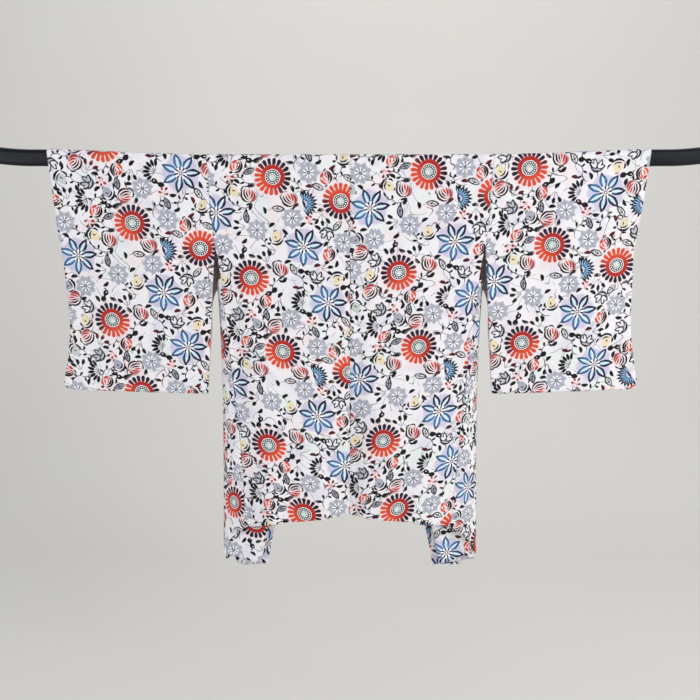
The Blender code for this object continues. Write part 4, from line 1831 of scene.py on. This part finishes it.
@dataclass
class Rail:
    """The lacquered rail, a square bar with rounded edges and ends that lift a little."""

    drape: Drape
    half: float = 0.0170
    edge: float = 0.0085
    half_length: float = 0.750
    lip: float = 0.0025
    corner_steps: int = 10
    end_steps: int = 4
    station: float = 0.012

    def section(self, shrink: float) -> Array:
        """The bar's outline across.

        Args:
            shrink: how much smaller it is all round.

        Returns:
            The outline's y and z, point by point.
        """
        flat, corner = self.half - self.edge, self.edge - shrink
        turns = np.linspace(0, math.pi / 2, self.corner_steps)
        ring = []
        for quarter, (y, z) in enumerate(((1, 1), (-1, 1), (-1, -1), (1, -1))):
            for turn in turns + quarter * math.pi / 2:
                ring.append((y * flat + corner * math.cos(turn), z * flat + corner * math.sin(turn)))
        return np.array(ring)

    def build(self, finishes: Wardrobe) -> bpy.types.Object:
        """Makes the rail.

        Args:
            finishes: the shared finishes.

        Returns:
            The piece.
        """
        count = int(2 * self.half_length / self.station)
        inner = np.linspace(-self.half_length + self.lip, self.half_length - self.lip, count)
        turns = np.linspace(0, math.pi / 2, self.end_steps + 1)[1:]
        ends = [(self.half_length - self.lip + self.lip * math.sin(t),
                 self.lip * (1 - math.cos(t))) for t in turns]
        stations = [(-x, s) for x, s in reversed(ends)] + [(x, 0.0) for x in inner] + ends
        points = []
        for x, shrink in stations:
            rise = float(self.drape.rail_rise(x))
            points += [(x, y, z + rise) for y, z in self.section(shrink)]
        ring = 4 * self.corner_steps
        faces = []
        for j in range(len(stations) - 1):
            for i in range(ring):
                beside = (i + 1) % ring
                faces.append((j * ring + i, j * ring + beside,
                              (j + 1) * ring + beside, (j + 1) * ring + i))
        faces.append(tuple(reversed(range(ring))))
        faces.append(tuple(range((len(stations) - 1) * ring, len(stations) * ring)))
        mesh = smooth_mesh("lacquered_rail", points, faces, [finishes.lacquer.material])
        return declare(put("lacquered_rail", mesh), "rail")


@dataclass
class BodyHalf(Sewn):
    """Half of the body, one length of cloth from the back hem over the rail to the front hem.

    The lining ends at facing above each hem. The print leans outwards down the back by lean times
    the square of the depth.
    """

    neck_columns: int = 16
    front_columns: int = 48
    back_rows: int = 124
    neck_rows: int = 24
    front_rows: int = 124
    facing: float = 0.27
    lean: float = 0.10
    centre_gap: float = 0.75

    def shares(self) -> Array:
        """The columns as shares of the half width: round the neck, then across the shoulder."""
        d = self.drape
        turns = np.linspace(0, math.pi / 2, self.neck_columns + 1)
        neck = d.neck_radius * np.sin(turns) / d.shoulder
        neck[0] = self.centre_gap * d.seam_gap / d.shoulder
        rest = np.linspace(neck[-1], 1, self.front_columns + 1)
        return np.concatenate([neck, rest[1:]])

    def back_rows_at(self, shares: Array) -> tuple[Array, Array]:
        """The back and the bend over the rail.

        Args:
            shares: the columns.

        Returns:
            Points and print places, row by row from the hem up.
        """
        d = self.drape
        s = np.linspace(0, 1, self.back_rows + 1)[:, None]
        z = d.back_hem(shares)[None, :] * (1 - s) + d.wrap_flat * s
        wide = np.broadcast_to(shares, z.shape)
        back = d.back_point(self.side, wide, z)
        across = wide * BACK_EDGE.at(self.side.word, z) + self.lean * np.minimum(z, 0) ** 2
        prints = np.stack([across, -d.cloth_run(z)], axis=-1)
        runs = d.wrap_runs()[1:, None]
        y, height = d.over_rail(runs)
        x = shares[None, :] * d.shoulder + 0 * runs
        bend = np.stack([x, y + 0 * x, height + d.rail_rise(x)], axis=-1)
        bend_prints = np.stack([x, runs + 0 * x], axis=-1)
        return np.concatenate([back, bend]), np.concatenate([prints, bend_prints])

    def front_rows_at(self, shares: Array) -> tuple[Array, Array]:
        """The round of the neck and the front below it.

        Args:
            shares: the columns.

        Returns:
            Points and print places, row by row down to the hem.
        """
        d = self.drape
        first = self.neck_columns
        share_in = np.clip((shares - shares[first]) / (1 - shares[first]), 0, 1)
        low = np.where(np.arange(len(shares)) < first, d.neck_height(shares * d.shoulder),
                       d.neck_floor)
        s = (np.arange(1, self.neck_rows + 1) / self.neck_rows)[:, None]
        z = d.wrap_flat * (1 - s) + low[None, :] * s
        edge = FRONT_EDGE.at("x", z)
        beside = d.neck_radius + (edge - d.neck_radius) * share_in[None, :]
        x = np.where(np.arange(len(shares)) < first, shares * d.shoulder, beside)
        lift = d.relief(Layer.FRONT, self.side, x, z)
        top = np.stack([x, d.wrap_half + lift, z + d.rail_rise(x)], axis=-1)
        top_prints = np.stack([x, d.cloth_run(z)], axis=-1)
        t = 1 - share_in
        s = (np.arange(1, self.front_rows + 1) / self.front_rows)[:, None]
        z = d.neck_floor * (1 - s) + FRONT_HEM.at("z", t)[None, :] * s
        wide = np.broadcast_to(t, z.shape)
        front = d.front_point(self.side, wide, z)
        u = FRONT_EDGE.at("x", z) - wide * d.front_cut(z)
        prints = np.stack([u, d.cloth_run(z)], axis=-1)
        return np.concatenate([top, front]), np.concatenate([top_prints, prints])

    def build(self, finishes: Wardrobe) -> bpy.types.Object:
        """Makes the half.

        Args:
            finishes: the shared finishes.

        Returns:
            The piece.
        """
        shares = self.shares()
        above, above_prints = self.back_rows_at(shares)
        below, below_prints = self.front_rows_at(shares)
        points = np.concatenate([above, below])
        prints = np.concatenate([above_prints, below_prints])
        cloth = Cloth()
        ids, inks = cloth.add(points), cloth.ink(prints)
        rows, columns = len(points) - 1, len(shares) - 1
        keep = np.ones((rows, columns), bool)
        keep[len(above) - 1 + self.neck_rows:, :self.neck_columns] = False
        run = prints[:-1, :-1, 1]
        lined = (run > prints[0, :, 1].max() + self.facing) & (run < prints[-1, -1, 1] - self.facing)
        cloth.quads(ids, inks, keep, lined)
        length = float(prints[-1, -1, 1] - prints[0, :, 1].min())
        return self.sew(f"body_{self.side.word}", cloth, (self.drape.shoulder, length),
                        ["lacquered_rail"], finishes)


@dataclass
class Gusset(Sewn):
    """The long wedge between the back and a front, from under the arm to the hem."""

    gap: float = 0.0009
    bulge: float = 0.6
    beside: float = 0.965
    rows: int = 96
    columns: int = 10
    facing: float = 0.27

    def build(self, finishes: Wardrobe) -> bpy.types.Object:
        """Makes the gusset.

        Args:
            finishes: the shared finishes.

        Returns:
            The piece.
        """
        d = self.drape
        fall = np.linspace(0, 1, self.rows + 1)

        def back(share: float) -> Array:
            """Places down the back at one share of its width."""
            z = d.gusset_top_back + (d.back_hem(share) - d.gusset_top_back) * fall
            return d.back_point(self.side, np.full_like(z, share), z)

        def front(t: float) -> Array:
            """Places down the front at one place across it."""
            z = d.gusset_top_front + (FRONT_HEM.at("z", t) - d.gusset_top_front) * fall
            return d.front_point(self.side, np.full_like(z, t), z)

        edge_t = (1 - self.beside) / (1 - d.neck_radius / d.shoulder)
        start, end = back(1.0), front(0.0)
        leave, reach = start - back(self.beside), front(edge_t) - end
        leave /= np.linalg.norm(leave, axis=1, keepdims=True)
        reach /= np.linalg.norm(reach, axis=1, keepdims=True)
        width = np.linalg.norm(end - start, axis=1, keepdims=True)
        start, end = start + leave * self.gap, end - reach * self.gap
        t = np.linspace(0, 1, self.columns + 1)[None, :, None]
        start, end, leave, reach = (a[:, None, :] for a in (start, end, leave * width, reach * width))
        points = (
            (1 + 2 * t) * (1 - t) ** 2 * start + t * (1 - t) ** 2 * leave * self.bulge
            + t * t * (3 - 2 * t) * end + t * t * (t - 1) * reach * self.bulge
        )[::-1]
        across = np.linalg.norm(np.diff(points, axis=1), axis=2).cumsum(axis=1)
        across = np.concatenate([np.zeros((len(points), 1)), across], axis=1)
        cloth = Cloth()
        ids = cloth.add(points)
        inks = cloth.ink(np.stack([across, points[..., 2]], axis=-1))
        lined = points[:-1, :-1, 2] > points[0, 0, 2] + self.facing
        cloth.quads(ids, inks, lined=lined)
        length = float(points[-1, -1, 2] - points[0, -1, 2])
        return self.sew(f"gusset_{self.side.word}", cloth, (float(across.max()), abs(length)),
                        [f"cloth_body_{self.side.word}"], finishes)


@dataclass
class Sleeve(Sewn):
    """One sleeve, a bag open at the body, at the hand and below the armhole."""

    fall: float = 0.515
    fold: float = 0.008
    fold_steps: int = 6
    corner: float = 0.020
    cuff_end: float = -0.230
    cuff_taper: float = 0.090
    cuff_seam: float = 0.0022
    row_step: float = 0.0062
    cuff_pinch: float = 0.62
    cuff_lip: float = 0.7
    columns: int = 56
    facing: float = 0.020

    def inner(self, z: Array, back: Array) -> Array:
        """The sleeve's line beside the body.

        Args:
            z: hang heights.
            back: which places are on the back layer.

        Returns:
            The line's x.
        """
        sewn = np.where(back, z >= self.drape.arm_end_back, z >= self.drape.arm_end_front)
        seam = np.where(back, BACK_EDGE.at("right", z), FRONT_EDGE.at("x", z))
        free = np.where(back, SLEEVE_INNER.at("back", z), SLEEVE_INNER.at("front", z))
        return np.where(sewn, seam, free) + self.drape.seam_gap

    def ring(self) -> tuple[Array, Array, Array, int]:
        """The loop of cloth: up the back, over the rail and down the front.

        Returns:
            Its y, its heights, its cloth run, and how many rows of a layer are sewn shut.
        """
        d = self.drape
        bottom = d.wrap_half - self.fall
        centre = bottom + self.fold
        turns = np.linspace(0, math.pi / 2, self.fold_steps + 1)
        low_z, low_y = centre - self.fold * np.cos(turns), self.fold * np.sin(turns)
        stops = (centre, d.arm_end_front, self.cuff_end, d.arm_end_back, d.wrap_flat)
        runs_up = [np.linspace(low, high, round((high - low) / self.row_step) + 1)[1:]
                   for low, high in zip(stops, stops[1:])]
        high = np.concatenate(runs_up)
        close = eased((d.arm_end_front - high) / (d.arm_end_front - centre))
        depth = d.wrap_half + (self.fold - d.wrap_half) * close
        layer_z, layer_y = np.concatenate([low_z, high]), np.concatenate([low_y, depth])
        run = d.cloth_run(layer_z)
        over = d.wrap_runs()[1:-1]
        over_y, over_z = d.over_rail(over)
        y = np.concatenate([-layer_y, over_y, layer_y[::-1]])
        z = np.concatenate([layer_z, over_z, layer_z[::-1]])
        runs = np.concatenate([-run, over, run[::-1]])
        return y, z, runs, len(turns) + len(runs_up[0]) + len(runs_up[1]) - 1

    def build(self, finishes: Wardrobe) -> bpy.types.Object:
        """Makes the sleeve.

        Args:
            finishes: the shared finishes.

        Returns:
            The piece.
        """
        d = self.drape
        y, z, runs, sewn = self.ring()
        back = runs < 0
        bottom = d.wrap_half - self.fall
        outer = CUFF_LINE.at(self.side.word, z)
        near = np.maximum(self.corner - (z - bottom), 0)
        outer = outer - np.where(near > 0, self.corner - np.sqrt(
            np.maximum(self.corner ** 2 - near ** 2, 0)), 0)
        inner = self.inner(z, back)
        shares = np.linspace(0, 1, self.columns + 1)
        x = inner[:, None] + (outer - inner)[:, None] * shares[None, :]
        opened = eased((z - self.cuff_end) / self.cuff_taper)
        pinch = (1 - opened) * (1 - self.cuff_seam / np.maximum(np.abs(y), self.cuff_seam))
        pinched = eased((shares[None, :] - self.cuff_pinch) / (1 - self.cuff_pinch))
        depth = y[:, None] * (1 - pinch[:, None] * pinched)
        high = z[:, None] + 0 * x
        lift = np.where(back[:, None], -d.relief(Layer.BACK, self.side, x, high),
                        d.relief(Layer.FRONT, self.side, x, high))
        depth = depth + lift * np.minimum(np.abs(depth) / d.wrap_half, 1)
        points = np.stack([x, depth, high + d.rail_rise(x)], axis=-1)
        prints = np.stack([x - d.shoulder, runs[:, None] + 0 * x], axis=-1)
        cloth = Cloth()
        ids, inks = cloth.add(points[:-1]), cloth.ink(prints)
        ids = np.concatenate([ids, ids[:1]])
        cuff = (outer - inner)[:-1, None] * (1 - shares[None, :-1]) < self.facing
        cloth.quads(ids, inks, lined=~cuff)
        self.sew_edge(cloth, points, ids, inks, prints, sewn)
        flat = (float((outer - inner).max()), float(2 * runs[-1]))
        return self.sew(f"sleeve_{self.side.word}", cloth, flat, ["lacquered_rail"], finishes)

    def sew_edge(self, cloth: Cloth, points: Array, ids: Array, inks: Array, prints: Array,
                 sewn: int) -> None:
        """Closes the sleeve's edge below the hand opening.

        Args:
            cloth: the sleeve's surface.
            points: its grid of points, the first row twice.
            ids: their numbers.
            inks: the numbers of their print places.
            prints: the print places.
            sewn: how many rows from the bottom are sewn shut.
        """
        last = points[:sewn + 1, -1]
        edge = last.copy()
        edge[:, 0] += np.abs(last[:, 1]) * self.cuff_lip
        edge[:, 1] = 0.0
        edge_ids = np.concatenate([ids[:1, -1], cloth.add(edge[1:])])
        edge_inks = cloth.ink(prints[:sewn + 1, -1])
        front = np.arange(len(points) - 1, len(points) - 2 - sewn, -1)
        edge_front = cloth.ink(prints[front, -1])
        back_ids = np.stack([ids[:sewn + 1, -1], edge_ids], axis=1)
        back_inks = np.stack([inks[:sewn + 1, -1], edge_inks], axis=1)
        front_ids = np.stack([edge_ids, ids[front, -1]], axis=1)
        front_inks = np.stack([edge_front, inks[front, -1]], axis=1)
        for grid, ink in ((back_ids, back_inks), (front_ids, front_inks)):
            for j in range(sewn):
                ring = [(j, 0), (j, 1), (j + 1, 1), (j + 1, 0)]
                corners = [int(grid[k]) for k in ring]
                kept = [k for n, k in enumerate(ring) if corners[n] != corners[n - 1]]
                cloth.corners.append(tuple(int(grid[k]) for k in kept))
                cloth.places.append(tuple(int(ink[k]) for k in kept))
                cloth.lined.append(True)


@dataclass
class Collar(Sewn):
    """The long folded band round the neck and down both fronts, made whole as the right side is."""

    wall: float = 0.003
    hem: float = 0.8
    width: float = 0.058
    gap: float = 0.0012
    tilt: float = 0.10
    tilt_neck: float = 0.22
    tilt_end: float = -0.30
    tilt_ease: float = 0.16
    hem_drop: float = 0.001
    front_rows: int = 116
    neck_turns: int = 28
    columns: int = 12

    def line(self) -> Array:
        """The seam line from the right hem over the back neck to the left hem."""
        d = self.drape
        z = np.linspace(float(FRONT_HEM.at("z", 1.0)), d.neck_floor, self.front_rows + 1)[:-1]
        halves = [d.front_point(side, np.ones_like(z), z) for side in (Side.RIGHT, Side.LEFT)]
        halves[1] = halves[1][::-1] * np.array([-1, 1, 1])
        turns = np.linspace(0, math.pi, 2 * self.neck_turns + 1)
        x = d.neck_radius * np.cos(turns)
        heights = d.neck_floor + d.neck_radius * np.sin(turns)
        lift = d.relief(Layer.FRONT, Side.RIGHT, x, heights)
        arc = np.stack([x, d.wrap_half + lift, heights], axis=-1)
        return np.concatenate([halves[0], arc, halves[1]])

    def build(self, finishes: Wardrobe) -> bpy.types.Object:
        """Makes the collar.

        Args:
            finishes: the shared finishes.

        Returns:
            The piece.
        """
        line = self.line()
        ahead = np.empty_like(line)
        ahead[1:-1] = line[2:] - line[:-2]
        ahead[0], ahead[-1] = line[1] - line[0], line[-1] - line[-2]
        ahead /= np.linalg.norm(ahead, axis=1, keepdims=True)
        inward = -np.cross(np.array([0.0, 1.0, 0.0]), ahead)
        inward /= np.linalg.norm(inward, axis=1, keepdims=True)
        tilt = self.tilt + self.tilt_neck * eased((line[:, 2] - self.tilt_end) / self.tilt_ease)
        way = inward + np.stack([0 * tilt, tilt, 0 * tilt], axis=-1)
        way /= np.linalg.norm(way, axis=1, keepdims=True)
        shares = np.linspace(0, 1, self.columns + 1)
        reach = self.gap + self.width * shares
        points = line[:, None, :] + way[:, None, :] * reach[None, :, None]
        for end in (0, -1):
            points[end, :, 2] = line[end, 2] - self.hem_drop
        along = np.linalg.norm(np.diff(line, axis=0), axis=1).cumsum()
        along = np.concatenate([[0.0], along])
        prints = np.stack([reach[None, :] + 0 * along[:, None], along[:, None] + 0 * reach], axis=-1)
        cloth = Cloth()
        plain = np.zeros((len(line) - 1, self.columns), bool)
        cloth.quads(cloth.add(points), cloth.ink(prints), lined=plain)
        return self.sew("collar", cloth, (self.width + self.gap, float(along[-1])),
                        ["cloth_body_left", "cloth_body_right"], finishes)


# ---- The studio ----
@dataclass(frozen=True)
class Lamp:
    """A soft square lamp: its place, its width, its watts, its tint and the place it faces."""

    name: str
    at: Place
    size: float
    power: float
    tint: Place
    to: Place = (0.0, 0.0, -0.4)

    def hang(self) -> None:
        """Adds the lamp."""
        data = bpy.data.lights.new(self.name, "AREA")
        data.size, data.energy, data.color = self.size, self.power, self.tint
        face_towards(put(self.name, data), self.at, self.to)


@dataclass
class Studio:
    """The floor and wall, the lights and the camera."""

    floor: float = -1.45
    wall: float = 3.0
    bend: float = 1.80
    bend_steps: int = 24
    half_width: float = 6.0
    front: float = -4.5
    top: float = 4.0
    eye: Place = (0.0, -2.0, 0.062)
    aim: Place = (0.0, 0.0, -0.398)
    lens: float = 48.53
    sensor: float = 36.0
    sight: tuple[float, float] = (0.05, 50.0)
    room: Colour = (0.93, 0.95, 1.0, 1)
    room_strength: float = 0.48
    lamps: tuple[Lamp, ...] = (
        Lamp("window", (2.7, -2.4, 0.7), 1.7, 80, (1.0, 0.99, 0.97)),
        Lamp("fill", (-2.6, -2.7, 0.1), 2.2, 41, (0.96, 0.98, 1.0)),
        Lamp("wall wash", (0.1, 0.9, 2.6), 1.8, 26, (1.0, 1.0, 0.98), (0.1, 3.0, -0.6)),
    )

    def backdrop(self, finish: Paint) -> bpy.types.Object:
        """Makes the floor and the wall as one sheet with a soft bend between them.

        Args:
            finish: its paint.

        Returns:
            The backdrop.
        """
        turns = np.linspace(0, math.pi / 2, self.bend_steps)
        line = [(self.front, self.floor)]
        line += [(self.wall - self.bend + self.bend * math.sin(t),
                  self.floor + self.bend * (1 - math.cos(t))) for t in turns]
        line.append((self.wall, self.top))
        points = [(x, y, z) for y, z in line for x in (-self.half_width, self.half_width)]
        faces = [(2 * j, 2 * j + 1, 2 * j + 3, 2 * j + 2) for j in range(len(line) - 1)]
        made = put("backdrop", smooth_mesh("backdrop", points, faces, [finish.material]))
        return made

    def light(self) -> None:
        """Adds the lamps and the soft light of the room."""
        for lamp in self.lamps:
            lamp.hang()
        world = bpy.data.worlds.new("room")
        world.use_nodes = True
        shader = world.node_tree.nodes["Background"]
        shader.inputs["Color"].default_value = self.room
        shader.inputs["Strength"].default_value = self.room_strength
        bpy.context.scene.world = world

    def camera(self) -> None:
        """Adds the camera."""
        data = bpy.data.cameras.new("camera")
        data.lens, data.sensor_width = self.lens, self.sensor
        data.clip_start, data.clip_end = self.sight
        made = put("camera", data)
        face_towards(made, self.eye, self.aim)
        bpy.context.scene.camera = made
        bpy.context.scene.view_settings.view_transform = "Standard"


CREASES = (
    Crease(Layer.BACK, (-0.235, -0.10), (-0.200, -0.62), 0.020, +0.0030),
    Crease(Layer.BACK, (-0.165, -0.16), (-0.150, -0.50), 0.016, -0.0024),
    Crease(Layer.BACK, (+0.050, -0.08), (+0.030, -0.74), 0.014, +0.0028),
    Crease(Layer.BACK, (+0.190, -0.14), (+0.215, -0.66), 0.018, -0.0026),
    Crease(Layer.BACK, (+0.192, -0.60), (+0.204, -0.93), 0.012, -0.0042),
    Crease(Layer.BACK, (-0.232, -0.58), (-0.236, -0.93), 0.010, -0.0036),
    Crease(Layer.BACK, (+0.105, -0.46), (+0.085, -0.82), 0.016, +0.0026),
    Crease(Layer.BACK, (-0.095, -0.50), (-0.110, -0.84), 0.018, +0.0028),
    Crease(Layer.BACK, (-0.045, -0.20), (-0.040, -0.78), 0.014, -0.0022),
    Crease(Layer.BACK, (-0.400, -0.02), (-0.385, -0.42), 0.022, +0.0030),
    Crease(Layer.BACK, (-0.510, -0.05), (-0.520, -0.40), 0.018, -0.0026),
    Crease(Layer.BACK, (+0.395, -0.04), (+0.410, -0.44), 0.020, -0.0028),
    Crease(Layer.BACK, (+0.540, -0.03), (+0.520, -0.38), 0.022, +0.0030),
    Crease(Layer.FRONT, (-0.200, -0.05), (-0.210, -0.55), 0.018, +0.0026),
    Crease(Layer.FRONT, (+0.215, -0.05), (+0.200, -0.50), 0.020, +0.0024),
    Crease(Layer.FRONT, (-0.430, -0.03), (-0.440, -0.42), 0.020, -0.0028),
    Crease(Layer.FRONT, (+0.450, -0.03), (+0.430, -0.42), 0.020, +0.0028),
)


def main() -> None:
    """Builds the studio, the rail and the jacket."""
    logging.basicConfig(level=logging.INFO, format="%(name)s: %(message)s")
    finishes = Wardrobe()
    studio = Studio()
    studio.camera()
    studio.light()
    studio.backdrop(finishes.paint)
    drape = Drape(creases=CREASES)
    parts = (
        Rail(drape),
        BodyHalf(drape, Side.LEFT, Panel(24.9, 24.8, mirrored=True)),
        BodyHalf(drape, Side.RIGHT, Panel(28.6, 23.7)),
        Gusset(drape, Side.LEFT, Panel(12.0, 20.0, mirrored=True)),
        Gusset(drape, Side.RIGHT, Panel(29.0, 9.0)),
        Sleeve(drape, Side.LEFT, Panel(24.8, 34.7, mirrored=True)),
        Sleeve(drape, Side.RIGHT, Panel(31.9, 2.2)),
        Collar(drape, Side.RIGHT, Panel(10.0, 5.0)),
    )
    for part in parts:
        piece = part.build(finishes)
        log.info("%s: %d faces", piece.name, len(piece.data.polygons))


if __name__ == "__main__":
    main()
